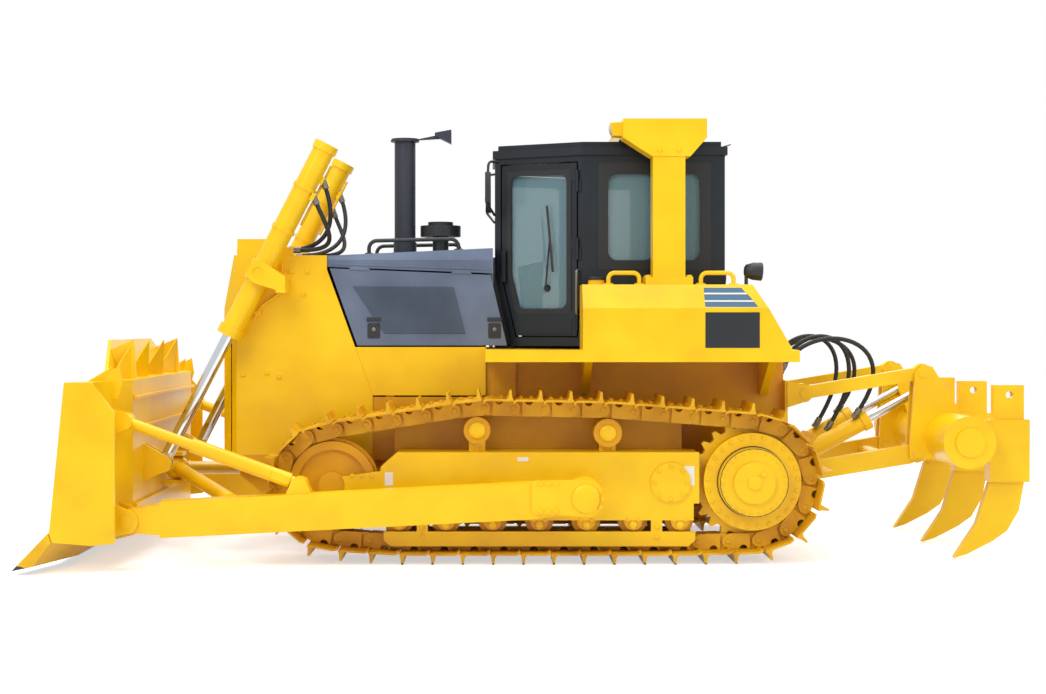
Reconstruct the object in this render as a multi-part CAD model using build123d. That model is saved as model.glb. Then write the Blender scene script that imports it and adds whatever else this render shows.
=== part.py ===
from build123d import *
import math
import os

# A crawler dozer with a semi-U blade and a three-shank ripper, in millimetres.
# X points forward, Y to the left, Z up; the origin is on the ground, under the middle of the whole machine.

# ---- sides, clearances --------------------------------------------------------------------------
LEFT, RIGHT = 1, -1
SIDES = (("left", LEFT), ("right", RIGHT))
SEAT = 0.3            # gap between a shaft and its bore, or a roller and its rail
RUN = 6.0             # side gap between a moving eye and its ears
OPEN_GAP = 12.0       # gap round doors and covers
COVER_GAP = 20.0      # gap ahead of and behind an engine cover

# ---- tracks -------------------------------------------------------------------------------------
GAUGE = 2000.0        # between the middles of the tracks
SHOE_WIDTH = 560.0
SHOE_COUNT = 40
GROUSER = 65.0        # height of the bar on each shoe
SHOE_PLATE = 15.0
LINK_OUT = 58.0       # pin line to shoe
LINK_IN = 60.0        # pin line to rail
STRAND_IN, STRAND_OUT = 45.0, 95.0      # each link strand, from the middle of the track
SPROCKET_X, SPROCKET_Z, SPROCKET_PIN_R = -1570.0, 584.0, 434.0
SPROCKET_TEETH = 25
IDLER_X, IDLER_Z, IDLER_PIN_R = 1480.0, 560.0, 390.0
ROLLER_R = 105.0
ROLLER_COUNT, ROLLER_FRONT_X, ROLLER_REAR_X = 7, 993.0, -1041.0
CARRIERS = ((428.0, 954.0), (-524.0, 935.0))        # x, z
TRACK_Y = GAUGE / 2
PIN_Z = LINK_OUT + SHOE_PLATE + GROUSER
RAIL_Z = PIN_Z + LINK_IN
ROLLER_Z = RAIL_Z + ROLLER_R

# ---- track frames -------------------------------------------------------------------------------
FRAME_HALF = 175.0    # half width of a track frame
FRAME_SKIN = 40.0
FRAME_FRONT_X, FRAME_REAR_X = 1125.0, -1180.0
FRAME_BOTTOM_Z, FRAME_TOP_Z = 308.0, 800.0
FRAME_FLOOR_Z = 430.0                               # underside of the box, above the rollers
POST_WIDTH = 119.0
ROLLER_END_R = 68.0   # the round collar that closes each end of a bottom roller
ROLLER_GUARD_Z0, ROLLER_GUARD_Z1 = 120.0, 226.0

# ---- hull ---------------------------------------------------------------------------------------
HULL_HALF = 500.0
HULL_REAR_X, HULL_FRONT_X = -1900.0, 2240.0
HULL_BOTTOM_Z, HULL_TOP_Z = 450.0, 740.0
CASE_FRONT_X, CASE_TOP_Z = 140.0, 1454.0            # the gear case under the cab
CROSS_HALF = 590.0                                  # front cross member, under the radiator guard

# ---- radiator guard, hood -----------------------------------------------------------------------
GUARD_HALF = 590.0
GUARD_WALL = 40.0
GUARD_FRONT_X, GUARD_TOP_Z = 2362.0, 2249.0
GUARD_BEND_Z, GUARD_LIP_X = 1850.0, 2275.0          # where the mask starts to lean back, and its top
GUARD_REAR_X, GUARD_REAR_Z = 1223.0, 1188.0         # foot of the slanted rear edge
GUARD_CREST_X, GUARD_CREST_Z = 1570.0, 2142.0       # head of the slanted rear edge
GUARD_CHAMFER = 110.0
MASK = 60.0           # thickness of the front mask
GRILLE_HALF, GRILLE_LOW_Z, GRILLE_HIGH_Z = 470.0, 830.0, 2090.0
CROWN_X0, CROWN_X1, CROWN_HALF, CROWN_TOP_Z = 2049.0, 2270.0, 430.0, 2380.0
HOOD_HALF = 575.0
HOOD_SKIN = 25.0
HOOD_FRONT_Z, HOOD_REAR_Z, HOOD_REAR_X = 2248.0, 2306.0, 312.0
HINGE_FRONT_Z, HINGE_REAR_Z = 2163.0, 2113.0        # hinge line of the engine covers
COVER_LOW_Z, COVER_REAR_X, COVER_HEEL_X = 1566.0, 311.0, 186.0
PANEL_LOW_Z, PANEL_REAR_X = 1188.0, 368.0

# ---- engine, cooling ----------------------------------------------------------------------------
ENGINE_X0, ENGINE_X1, ENGINE_HALF, ENGINE_TOP_Z = 420.0, 1480.0, 330.0, 1950.0
CORE_X0, CORE_X1, CORE_HALF = 2060.0, 2200.0, 500.0
FAN_X, FAN_Z, FAN_R, FAN_BLADES = 1760.0, 1440.0, 430.0, 8
STACK_X, STACK_R, STACK_TOP_Z = 1007.0, 83.0, 3184.0
FLAP_REACH, FLAP_RISE = 367.0, 78.0                 # from the stack's rim to the tip of its counterweight
CLEANER_X, CLEANER_R, CLEANER_STEM_R, CLEANER_Z0, CLEANER_Z1 = 726.0, 159.0, 63.0, 2419.0, 2504.0

# ---- deck, tanks --------------------------------------------------------------------------------
DECK_Z0, DECK_Z1 = 1454.0, 1540.0
DECK_REAR_X, DECK_FRONT_X, DECK_HALF = -1895.0, 368.0, 1250.0
TANK_FRONT_X, TANK_CREST_X, TANK_GAP = -335.0, -1572.0, 30.0       # TANK_GAP: from the cab to a side tank
TANK_TOP_Z, TANK_BEVEL_Z, TANK_BEVEL = 2015.0, 1842.0, 120.0
REAR_TANK_FRONT_X, REAR_TANK_HALF, REAR_TANK_TOP_Z = -1450.0, 770.0, 1985.0

# ---- cab, rollover bar --------------------------------------------------------------------------
CAB_REAR_X, CAB_POST_X, CAB_FRONT_X = -1421.0, -354.0, 296.0
CAB_HALF, CAB_NOSE_HALF = 760.0, 420.0
CAB_FLOOR_Z, CAB_ROOF_Z, CAB_TOP_Z = 1563.0, 2990.0, 3093.0
CAB_WALL, CAB_FLOOR = 60.0, 50.0
CAB_HEEL_X, CAB_WAIST_Z = 169.0, 2113.0             # the lower front leans back to its heel
WINDOW_Z0, WINDOW_Z1 = 2141.0, 2930.0
DOOR_SILL_Z, DOOR_HEAD_Z, DOOR_STILE = 1640.0, 2935.0, 60.0
DOOR_REAR, DOOR_NOSE = 45.0, 60.0                   # from the rear and front corners of the door's wall
GLASS = 10.0
TANK_IN_Y = CAB_HALF + TANK_GAP
ROPS_X, ROPS_Y, ROPS_POST_X, ROPS_POST_Y = -970.0, 1000.0, 235.0, 200.0
ROPS_FOOT_X, ROPS_FOOT_Z = 345.0, 55.0
BEAM_X0, BEAM_X1, BEAM_Z0, BEAM_Z1, BEAM_HALF = -1245.0, -634.0, 3105.0, 3223.0, 1110.0
GUSSET_Z = 2949.0

# ---- blade --------------------------------------------------------------------------------------
BLADE_HALF, BEND_Y, WING_REACH = 1820.0, 1200.0, 170.0
BLADE_TOP_Z, BLADE_BACK_X, BLADE_LIP_X = 1325.0, 2911.0, 3095.0
BLADE_HEEL_Z, BLADE_TOE_X, BLADE_TOE_Z = 204.0, 3199.0, 290.0
MOULD_X, MOULD_Z = 3035.0, 800.0                    # deepest point of the curved face
EDGE_REACH, EDGE_THICK, EDGE_TIP_Z, EDGE_HEEL_Z = 249.0, 144.0, 30.0, 60.0
EDGE_TIP_X = BLADE_TOE_X + EDGE_REACH
EDGE_HEEL_X = EDGE_TIP_X - EDGE_THICK
EDGE_SEAT_X, EDGE_SEAT_Z = BLADE_TOE_X - 21.0, BLADE_TOE_Z - 64.0   # lower corner of the seat for the edge
END_PLATE, END_BACK_X = 30.0, 2910.0
SPILL_TOP_Z, SPILL_LEAN, SPILL_SKIN = 1610.0, 95.0, 25.0
SPILL_TOP_Y, SPILL_LOW_Y = 750.0, 1300.0
FIN = 25.0

# ---- push arms, braces --------------------------------------------------------------------------
ARM_Y, ARM_WIDTH, ARM_HEIGHT = 1500.0, 180.0, 255.0
BALL_X, BALL_Z, BALL_R = -336.0, 508.0, 95.0
ARM_PIN_X, ARM_PIN_Z = 2875.0, 345.0
ARM_BOX_X, ARM_BOX_Z = 52.0, 487.0                  # rear end of the box section
BRACE_TOP_X, BRACE_TOP_Z = 2936.0, 1041.0
BRACE_FOOT_X, BRACE_FOOT_Z = 1677.0, 599.0
BRACE_R, BRACE_ROD_R = 52.0, 38.0
TILT_BARREL_R, TILT_ROD_R = 75.0, 42.0
DIAGONAL_X, DIAGONAL_Z, DIAGONAL_R = 2150.0, 470.0, 52.0
HUB_X, HUB_Z, HUB_R = 2811.0, 597.0, 95.0

# ---- lift cylinders -----------------------------------------------------------------------------
LIFT_Y = 750.0
LIFT_EYE_X, LIFT_EYE_Z, LIFT_EYE_R = 2777.0, 689.0, 62.0
YOKE_X, YOKE_Z = 2048.0, 2109.0
LIFT_BARREL_R, LIFT_ROD_R, TRUNNION_R = 82.0, 45.0, 40.0
LIFT_BELOW, LIFT_ABOVE, LIFT_ROD_LENGTH = 525.0, 1084.0, 1550.0
EYE_HALF = 30.0       # half thickness of a rod eye
EAR = 30.0            # thickness of an ear

# ---- ripper -------------------------------------------------------------------------------------
LOWER_X, LOWER_Z, UPPER_X, UPPER_Z = -2007.0, 598.0, -2045.0, 1206.0
LINK_DX, LINK_DZ = -897.0, 150.0                    # the same vector for arm and link
LINK_Y, LINK_HALF, PIN_R, PIN_EYE_R = 520.0, 45.0, 35.0, 72.0
RIPPER_CYL_Y, RIPPER_CYL_X, RIPPER_CYL_Z = 300.0, -2030.0, 690.0
RIPPER_ROD_PIN_X, RIPPER_ROD_PIN_Z = -3013.0, 1227.0
RIPPER_BARREL_R, RIPPER_ROD_R, RIPPER_BARREL, RIPPER_ROD = 65.0, 33.0, 640.0, 790.0
RIPPER_BEAM_X, RIPPER_BEAM_Z, RIPPER_BEAM_R, RIPPER_BEAM_HALF = -3146.0, 868.0, 191.0, 1150.0
SHANKS_Y = (-950.0, 0.0, 950.0)
SHANK_HALF, POCKET_SKIN = 37.5, 35.0
POCKET_X0, POCKET_X1, POCKET_Z0, POCKET_Z1 = -3618.0, -3326.0, 571.0, 1027.0
SHANK_X0, SHANK_X1, SHANK_TOP_Z = -3586.0, -3364.0, 1279.0
HEAD_HOLE_X, HEAD_HOLE_Z, HEAD_HOLE_R = -3480.0, 1208.0, 27.0


# ---- shapes that every sub-part uses -------------------------------------------------------------
def solid_of(points, direction):
    """A straight prism: the flat loop of points, carried along the direction."""
    return Solid.extrude(Face(Wire.make_polygon(points, close=True)), Vector(*direction))


def plate(outline, y0, y1):
    """A prism whose outline is (x, z) points, from y0 to y1."""
    low, high = min(y0, y1), max(y0, y1)
    return solid_of([Vector(x, low, z) for x, z in outline], (0, high - low, 0))


def floor_plate(outline, z0, z1):
    """A prism whose outline is (x, y) points, from z0 to z1."""
    return solid_of([Vector(x, y, z0) for x, y in outline], (0, 0, z1 - z0))


def rib(outline, x0, x1):
    """A prism whose outline is (y, z) points, from x0 to x1."""
    return solid_of([Vector(x0, y, z) for y, z in outline], (x1 - x0, 0, 0))


def block(x0, x1, y0, y1, z0, z1):
    """A box between two opposite corners, given in any order."""
    low = Vector(min(x0, x1), min(y0, y1), min(z0, z1))
    return Solid.make_box(abs(x1 - x0), abs(y1 - y0), abs(z1 - z0), Plane(low))


def disc(x, z, radius, y0, y1):
    """A cylinder along Y."""
    low, high = min(y0, y1), max(y0, y1)
    return Solid.make_cylinder(radius, high - low, Plane(origin=(x, low, z), z_dir=(0, 1, 0)))


def bar(start, end, radius):
    """A cylinder from one point to another."""
    start, end = Vector(*start), Vector(*end)
    return Solid.make_cylinder(radius, (end - start).length, Plane(origin=start, z_dir=end - start))


def post(x, y, z0, z1, radius):
    """An upright cylinder."""
    return bar((x, y, z0), (x, y, z1), radius)


def fuse(*pieces):
    """One part from pieces that touch or cross."""
    return Part() + list(pieces)


def between(start, end, distance):
    """The (x, z) point at a distance from start, on the way to end."""
    length = math.hypot(end[0] - start[0], end[1] - start[1])
    share = distance / length
    return (start[0] + (end[0] - start[0]) * share, start[1] + (end[1] - start[1]) * share)


def eye_outline(x, z, radius, foot, steps=6):
    """(x, z) points of a lug: a half round about a pin, then straight to the two foot points."""
    low, high = foot
    middle = ((low[0] + high[0]) / 2, (low[1] + high[1]) / 2)
    away = math.atan2(z - middle[1], x - middle[0])
    turn = 1 if cross(middle, (x, z), low) < 0 else -1
    rim = [away + turn * math.pi * (i / steps - 0.5) for i in range(steps + 1)]
    return [low] + [(x + radius * math.cos(a), z + radius * math.sin(a)) for a in rim] + [high]


def cross(origin, tip, point):
    """Positive where the point lies to the left of the line from origin to tip."""
    ax, az = tip[0] - origin[0], tip[1] - origin[1]
    return ax * (point[1] - origin[1]) - az * (point[0] - origin[0])


def ears(x, z, radius, foot, y, half_gap, bore=0.0):
    """Two ears each side of an eye at y, with a bore for its pin where one is asked for."""
    pair = []
    for side in (LEFT, RIGHT):
        near, far = y + side * half_gap, y + side * (half_gap + EAR)
        ear = plate(eye_outline(x, z, radius, foot), near, far)
        if bore:
            ear = ear - disc(x, z, bore, near - side, far + side)
        pair.append(ear)
    return pair


# ---- tracks: one closed belt of pins round the wheels ---------------------------------------------
def roller_places():
    """(x, z) of each bottom roller, front to rear."""
    step = (ROLLER_REAR_X - ROLLER_FRONT_X) / (ROLLER_COUNT - 1)
    return [(ROLLER_FRONT_X + step * i, ROLLER_Z) for i in range(ROLLER_COUNT)]


def belt():
    """The pin line as arcs round the wheels, anticlockwise, each with the straight run that follows it."""
    bottom = ROLLER_R + LINK_IN
    wheels = [(ROLLER_FRONT_X, ROLLER_Z, bottom), (IDLER_X, IDLER_Z, IDLER_PIN_R)]
    wheels += [(x, z, bottom) for x, z in CARRIERS]
    wheels += [(SPROCKET_X, SPROCKET_Z, SPROCKET_PIN_R), (ROLLER_REAR_X, ROLLER_Z, bottom)]
    normals = []
    for (x0, z0, r0), (x1, z1, r1) in zip(wheels, wheels[1:] + wheels[:1]):
        span = math.hypot(x1 - x0, z1 - z0)
        normals.append(math.atan2(z1 - z0, x1 - x0) - math.acos((r0 - r1) / span))
    stretches = []
    for i, (x, z, radius) in enumerate(wheels):
        turn = (normals[i] - normals[i - 1]) % (2 * math.pi)
        far_x, far_z, far_r = wheels[(i + 1) % len(wheels)]
        run = math.sqrt((far_x - x) ** 2 + (far_z - z) ** 2 - (far_r - radius) ** 2)
        stretches.append((x, z, radius, normals[i - 1], turn, run))
    return stretches


def along_belt(stretches, distance):
    """The (x, z) point of the pin line at a distance from its start."""
    for x, z, radius, start, turn, run in stretches:
        if distance <= radius * turn:
            angle = start + distance / radius
            return (x + radius * math.cos(angle), z + radius * math.sin(angle))
        distance -= radius * turn
        angle = start + turn
        if distance <= run:
            return (x + radius * math.cos(angle) - distance * math.sin(angle),
                    z + radius * math.sin(angle) + distance * math.cos(angle))
        distance -= run
    return along_belt(stretches, distance)


def track_pins():
    """(x, z) of each track pin."""
    stretches = belt()
    length = sum(radius * turn + run for _, _, radius, _, turn, run in stretches)
    return [along_belt(stretches, length * i / SHOE_COUNT) for i in range(SHOE_COUNT)]


def link_frames(pins):
    """For each link: its middle, its direction of travel, its outward direction and its half pitch."""
    frames = []
    for (x0, z0), (x1, z1) in zip(pins, pins[1:] + pins[:1]):
        pitch = math.hypot(x1 - x0, z1 - z0)
        tx, tz = (x1 - x0) / pitch, (z1 - z0) / pitch
        frames.append(((x0 + x1) / 2, (z0 + z1) / 2, tx, tz, pitch / 2))
    return frames


def on_link(frame, along, out):
    """The (x, z) point of a link, from its own along and outward distances."""
    x, z, tx, tz, _ = frame
    return (x + along * tx + out * tz, z + along * tz - out * tx)


def shoe_outline(frame):
    """A shoe seen from the side: its flat plate with one tapered bar near the leading edge."""
    half = frame[4] - 5
    base, top = LINK_OUT, LINK_OUT + SHOE_PLATE
    profile = ((-half, base), (half, base), (half, top), (half - 14, top),
               (half - 20, top + GROUSER), (half - 36, top + GROUSER), (half - 44, top), (-half, top))
    return [on_link(frame, along, out) for along, out in profile]


def rail_line(frames):
    """(x, z) corners of the rail that the wheels run on, one at each pin."""
    corners = []
    for before, after in zip(frames[-1:] + frames[:-1], frames):
        turn = math.atan2(before[2] * after[3] - before[3] * after[2], before[2] * after[2] + before[3] * after[3])
        corners.append(on_link(after, -after[4] + LINK_IN * math.tan(turn / 2), -LINK_IN))
    return corners


def strand(frames, y0, y1):
    """One strand of links: a closed band with straight rails inside and a foot under each shoe."""
    bite = 2.0        # how far the feet reach into the shoes
    outer = [on_link(frame, side * frame[4] * 0.62, LINK_OUT + bite) for frame in frames for side in (-1, 1)]
    ring = Face(Wire.make_polygon([Vector(x, y0, z) for x, z in outer], close=True),
                [Wire.make_polygon([Vector(x, y0, z) for x, z in rail_line(frames)], close=True)])
    return Solid.extrude(ring, Vector(0, y1 - y0, 0))


def track(side):
    """The closed chain: every shoe fused to two strands of links."""
    frames = link_frames(track_pins())
    middle = side * TRACK_Y
    shoes = [plate(shoe_outline(frame), middle - SHOE_WIDTH / 2, middle + SHOE_WIDTH / 2) for frame in frames]
    strands = [strand(frames, middle + y0, middle + y1)
               for y0, y1 in ((-STRAND_OUT, -STRAND_IN), (STRAND_IN, STRAND_OUT))]
    return fuse(*strands, *shoes)


def rail_radius(x, z):
    """The radius of a wheel that just seats on the rail from (x, z)."""
    corners = rail_line(link_frames(track_pins()))
    gaps = []
    for (x0, z0), (x1, z1) in zip(corners, corners[1:] + corners[:1]):
        length = math.hypot(x1 - x0, z1 - z0)
        share = ((x - x0) * (x1 - x0) + (z - z0) * (z1 - z0)) / length ** 2
        share = min(1.0, max(0.0, share))
        gaps.append(math.hypot(x0 + share * (x1 - x0) - x, z0 + share * (z1 - z0) - z))
    return min(gaps) - SEAT


TREADS = ((-STRAND_OUT - 8, -STRAND_IN + 3), (STRAND_IN - 3, STRAND_OUT + 8))


def idlers():
    """Front wheels: two treads, a raised middle flange between the strands, a hub on a yoke block."""
    radius = rail_radius(IDLER_X, IDLER_Z)
    flange = STRAND_IN - 5
    pieces = []
    for side in (LEFT, RIGHT):
        middle = side * TRACK_Y
        tread = disc(IDLER_X, IDLER_Z, radius, middle + TREADS[0][0], middle + TREADS[1][1])
        for face in (TREADS[0][0], TREADS[1][1]):
            inward = -math.copysign(35, face)
            tread = tread - disc(IDLER_X, IDLER_Z, radius - 60, middle + face, middle + face + inward)
        rim = disc(IDLER_X, IDLER_Z, radius + 22, middle - flange, middle + flange)
        hub = disc(IDLER_X, IDLER_Z, 95, middle - FRAME_HALF + 15, middle + FRAME_HALF - 15)
        pieces.append(fuse(tread, rim, hub))
    return pieces


def sprocket_outline():
    """A toothed wheel whose roots clear the track's bushings."""
    root, tip = SPROCKET_PIN_R - 36, SPROCKET_PIN_R + 10
    points = []
    for i in range(SPROCKET_TEETH):
        for radius, share in ((root, 0.0), (root, 0.34), (tip, 0.56), (tip, 0.78)):
            angle = 2 * math.pi * (i + share) / SPROCKET_TEETH
            points.append((SPROCKET_X + radius * math.cos(angle), SPROCKET_Z + radius * math.sin(angle)))
    return points


def final_drive(side):
    """A sprocket on its final drive: a stepped cover outside, the housing that reaches the hull inside."""
    wheel = STRAND_IN - 7
    stages = ((353, 0, 150), (252, 150, 235), (150, 235, 262))         # radius, from, to beyond the middle
    middle = side * TRACK_Y
    pieces = [plate(sprocket_outline(), middle - wheel, middle + wheel)]
    pieces += [disc(SPROCKET_X, SPROCKET_Z, radius, middle + side * y0, middle + side * y1)
               for radius, y0, y1 in stages]
    pieces.append(disc(SPROCKET_X, SPROCKET_Z, 300, side * HULL_HALF, middle))
    return fuse(*pieces)


def track_rollers():
    """Bottom rollers with their end blocks, and the two pairs of rollers that carry the top run."""
    end = FRAME_HALF
    pieces = []
    for side in (LEFT, RIGHT):
        middle = side * TRACK_Y
        for x, z in roller_places():
            radius = rail_radius(x, z)
            roller = [disc(x, z, radius, middle + y0, middle + y1) for y0, y1 in TREADS]
            roller.append(disc(x, z, radius - 35, middle - end + FRAME_SKIN, middle + end - FRAME_SKIN))
            collar = eye_outline(x, z, ROLLER_END_R, ((x - ROLLER_END_R, FRAME_BOTTOM_Z), (x + ROLLER_END_R, FRAME_BOTTOM_Z)))
            roller += [plate(collar, middle + outer, middle + outer + FRAME_SKIN)
                       for outer in (-end, end - FRAME_SKIN)]
            pieces.append(fuse(*roller))
        for x, z in CARRIERS:
            radius = rail_radius(x, z)
            roller = [disc(x, z, radius, middle + y0, middle + y1) for y0, y1 in TREADS]
            roller.append(disc(x, z, 36, middle - STRAND_OUT, middle + STRAND_OUT))
            pieces.append(fuse(*roller))
    return pieces


def roller_guard(y0, y1):
    """The long plate below the roller collars, hung from the frame between the first and the last two rollers."""
    places = roller_places()
    front, rear = places[0][0], places[-1][0]
    hangers = [(places[0][0] + places[1][0]) / 2, (places[-1][0] + places[-2][0]) / 2]
    long_plate = plate(((front + 60, ROLLER_GUARD_Z0), (front + 110, ROLLER_GUARD_Z0 + 45), (front + 110, ROLLER_GUARD_Z1),
                        (rear - 110, ROLLER_GUARD_Z1), (rear - 110, ROLLER_GUARD_Z0 + 45), (rear - 60, ROLLER_GUARD_Z0)),
                       y0, y1)
    return [long_plate] + [block(x - 40, x + 40, y0, y1, ROLLER_GUARD_Z1 - 60, FRAME_BOTTOM_Z + 10) for x in hangers]


def track_frame(side):
    """The box that carries the rollers, with skirts, roller posts and guards, the ball and the hull arms."""
    middle = side * TRACK_Y
    shoulder = FRAME_TOP_Z - 106
    box_outline = ((FRAME_FRONT_X, FRAME_FLOOR_Z), (FRAME_FRONT_X, shoulder), (FRAME_FRONT_X - 120, FRAME_TOP_Z),
                   (FRAME_REAR_X, FRAME_TOP_Z), (FRAME_REAR_X, FRAME_FLOOR_Z))
    pieces = [plate(box_outline, middle - FRAME_HALF, middle + FRAME_HALF)]
    for outer in (-FRAME_HALF, FRAME_HALF - FRAME_SKIN):
        pieces.append(block(FRAME_REAR_X + 40, FRAME_FRONT_X - 40, middle + outer, middle + outer + FRAME_SKIN,
                            FRAME_BOTTOM_Z, FRAME_FLOOR_Z))
        cheek = ((FRAME_FRONT_X, FRAME_FLOOR_Z + 30), (IDLER_X + 60, IDLER_Z - 45), (IDLER_X + 60, IDLER_Z + 45),
                 (FRAME_FRONT_X, shoulder - 30))
        pieces.append(plate(cheek, middle + outer, middle + outer + FRAME_SKIN))
        pieces += roller_guard(middle + outer, middle + outer + FRAME_SKIN)
    for x, z in CARRIERS:
        head = block(x - POST_WIDTH / 2, x + POST_WIDTH / 2, middle - STRAND_IN + 8, middle + STRAND_IN - 8,
                     FRAME_TOP_Z, z + 50)
        pieces.append(head - disc(x, z, 36 + SEAT, middle - STRAND_IN, middle + STRAND_IN))
    pieces.append(disc(BALL_X, BALL_Z, 62, middle + side * FRAME_HALF, side * ARM_Y))
    pieces.append(disc(BALL_X, BALL_Z, 120, middle + side * FRAME_HALF, middle + side * (FRAME_HALF + 40)))
    pieces.append(Solid.make_sphere(BALL_R, Plane((BALL_X, side * ARM_Y, BALL_Z)), -90, 90, 360))
    pieces.append(disc(BALL_X, BALL_Z + 60, 90, side * HULL_HALF, middle - side * FRAME_HALF))
    pieces.append(block(900, 1050, side * HULL_HALF, middle - side * FRAME_HALF, 600, 690))
    pieces.append(disc(-972, SPROCKET_Z, 143, middle + side * FRAME_HALF, middle + side * (FRAME_HALF + 22)))
    notch = disc(SPROCKET_X, SPROCKET_Z, SPROCKET_PIN_R + 25, middle - STRAND_OUT - 10, middle + STRAND_OUT + 10)
    return fuse(*pieces) - disc(IDLER_X, IDLER_Z, 95 + SEAT, middle - FRAME_HALF, middle + FRAME_HALF) - notch


# ---- hull ----------------------------------------------------------------------------------------
def main_frame():
    """The welded hull: gear case behind, belly and rails in front, cross member and pull hook."""
    outline = ((HULL_REAR_X, HULL_BOTTOM_Z + 90), (HULL_REAR_X + 90, HULL_BOTTOM_Z),
               (HULL_FRONT_X - 160, HULL_BOTTOM_Z), (HULL_FRONT_X, HULL_BOTTOM_Z + 130),
               (HULL_FRONT_X, HULL_TOP_Z), (CASE_FRONT_X + 60, HULL_TOP_Z),
               (CASE_FRONT_X, HULL_TOP_Z + 120), (CASE_FRONT_X, CASE_TOP_Z), (HULL_REAR_X, CASE_TOP_Z))
    hull = plate(outline, -HULL_HALF, HULL_HALF)
    rail = block(GUARD_REAR_X, HULL_FRONT_X, -CROSS_HALF, CROSS_HALF, HULL_TOP_Z - 120, HULL_TOP_Z)
    skirts = []
    for side in (LEFT, RIGHT):
        inner, outer = side * (HOOD_HALF - HOOD_SKIN + SEAT), side * HOOD_HALF
        skirts.append(block(PANEL_REAR_X, GUARD_REAR_X - SEAT, inner, outer, HULL_TOP_Z - 40, PANEL_LOW_Z - OPEN_GAP))
        skirts.append(block(PANEL_REAR_X, GUARD_REAR_X - SEAT, side * (HULL_HALF - 5), outer,
                            HULL_TOP_Z - 40, HULL_TOP_Z - 10))
    hook_x = HULL_FRONT_X + 60
    hook_z = HULL_BOTTOM_Z + 200
    foot = ((HULL_FRONT_X, hook_z - 70), (HULL_FRONT_X, hook_z + 70))
    hook = ears(hook_x, hook_z, 55, foot, 0, 40, bore=26)
    return fuse(hull, rail, *skirts, *hook)


def engine():
    """The engine as one plain block on the rails."""
    return block(ENGINE_X0, ENGINE_X1, -ENGINE_HALF, ENGINE_HALF, HULL_TOP_Z, ENGINE_TOP_Z)


def fan():
    """A hub with its pulley shaft and flat pitched blades."""
    hub = bar((FAN_X - 60, 0, FAN_Z), (FAN_X + 40, 0, FAN_Z), 95)
    shaft = bar((ENGINE_X1 + SEAT, 0, FAN_Z), (FAN_X - 60, 0, FAN_Z), 40)
    blades = []
    for i in range(FAN_BLADES):
        blade = floor_plate(((-35, 70), (35, 70), (50, FAN_R), (-50, FAN_R)), -5, 5)
        blade = blade.rotate(Axis.Y, 32).moved(Location((FAN_X, 0, FAN_Z)))
        blades.append(blade.rotate(Axis((FAN_X, 0, FAN_Z), (1, 0, 0)), 360 / FAN_BLADES * i))
    return fuse(hub, shaft, *blades)


# ---- radiator guard ------------------------------------------------------------------------------
def guard_outline(inset=0.0):
    """(x, z) outline of the guard's side, or of its hollow when inset."""
    return ((GUARD_REAR_X, HULL_TOP_Z), (GUARD_FRONT_X - inset * MASK, HULL_TOP_Z),
            (GUARD_FRONT_X - inset * MASK, GUARD_BEND_Z), (GUARD_LIP_X - inset * MASK, GUARD_TOP_Z - inset * GUARD_WALL),
            (GUARD_CREST_X, GUARD_TOP_Z - inset * GUARD_WALL), (GUARD_CREST_X, GUARD_CREST_Z),
            (GUARD_REAR_X, GUARD_REAR_Z))


def yoke(side):
    """The forged yoke that holds a lift cylinder's trunnions: an inner boss, a web and an outer arm."""
    boss_in, boss_out = side * GUARD_HALF, side * (LIFT_Y - LIFT_BARREL_R - 32)
    arm_in, arm_out = side * (LIFT_Y + LIFT_BARREL_R + 32), side * (LIFT_Y + LIFT_BARREL_R + 72)
    web = ((YOKE_X - 200, YOKE_Z - 150), (YOKE_X - 200, YOKE_Z - 30))
    lug = eye_outline(YOKE_X, YOKE_Z, 85, web, steps=8)
    back = block(YOKE_X - 200, YOKE_X - 130, boss_in, arm_out, YOKE_Z - 150, YOKE_Z - 30)
    bore = disc(YOKE_X, YOKE_Z, TRUNNION_R + SEAT, side * GUARD_HALF, arm_out + side)
    return fuse(plate(lug, boss_in, boss_out) - bore, plate(lug, arm_in, arm_out) - bore, back)


def radiator_guard():
    """The guard round the radiator: two walls, a leaning mask with the grille opening, and a crown."""
    shell = plate(guard_outline(), -GUARD_HALF, GUARD_HALF)
    for side in (LEFT, RIGHT):
        corner = ((GUARD_FRONT_X - GUARD_CHAMFER, side * (GUARD_HALF + 1)), (GUARD_FRONT_X + 1, side * (GUARD_HALF + 1)),
                  (GUARD_FRONT_X + 1, side * (GUARD_HALF - GUARD_CHAMFER)))
        shell = shell - floor_plate(corner, HULL_TOP_Z - 1, GUARD_TOP_Z + 1)
    hollow = plate(guard_outline(1.0), -GUARD_HALF + GUARD_WALL, GUARD_HALF - GUARD_WALL)
    behind = block(GUARD_REAR_X - 100, GUARD_CREST_X + 1, -GUARD_HALF + GUARD_WALL, GUARD_HALF - GUARD_WALL,
                   HULL_TOP_Z, GUARD_TOP_Z - GUARD_WALL)
    window = block(GUARD_FRONT_X - 200, GUARD_FRONT_X + 10, -GRILLE_HALF, GRILLE_HALF, GRILLE_LOW_Z, GRILLE_HIGH_Z)
    crown = plate(((CROWN_X0, GUARD_TOP_Z - 20), (CROWN_X1 + 5, GUARD_TOP_Z - 20), (CROWN_X1, CROWN_TOP_Z),
                   (CROWN_X0, CROWN_TOP_Z)), -CROWN_HALF, CROWN_HALF)
    shell = shell - hollow - behind - window
    return fuse(shell, crown, yoke(LEFT), yoke(RIGHT))


def mask_x(z, depth=0.0):
    """The x of the mask's front face at a height, less a depth."""
    lean = (GUARD_FRONT_X - GUARD_LIP_X) / (GUARD_TOP_Z - GUARD_BEND_Z)
    return GUARD_FRONT_X - max(0.0, z - GUARD_BEND_Z) * lean - depth


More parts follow.
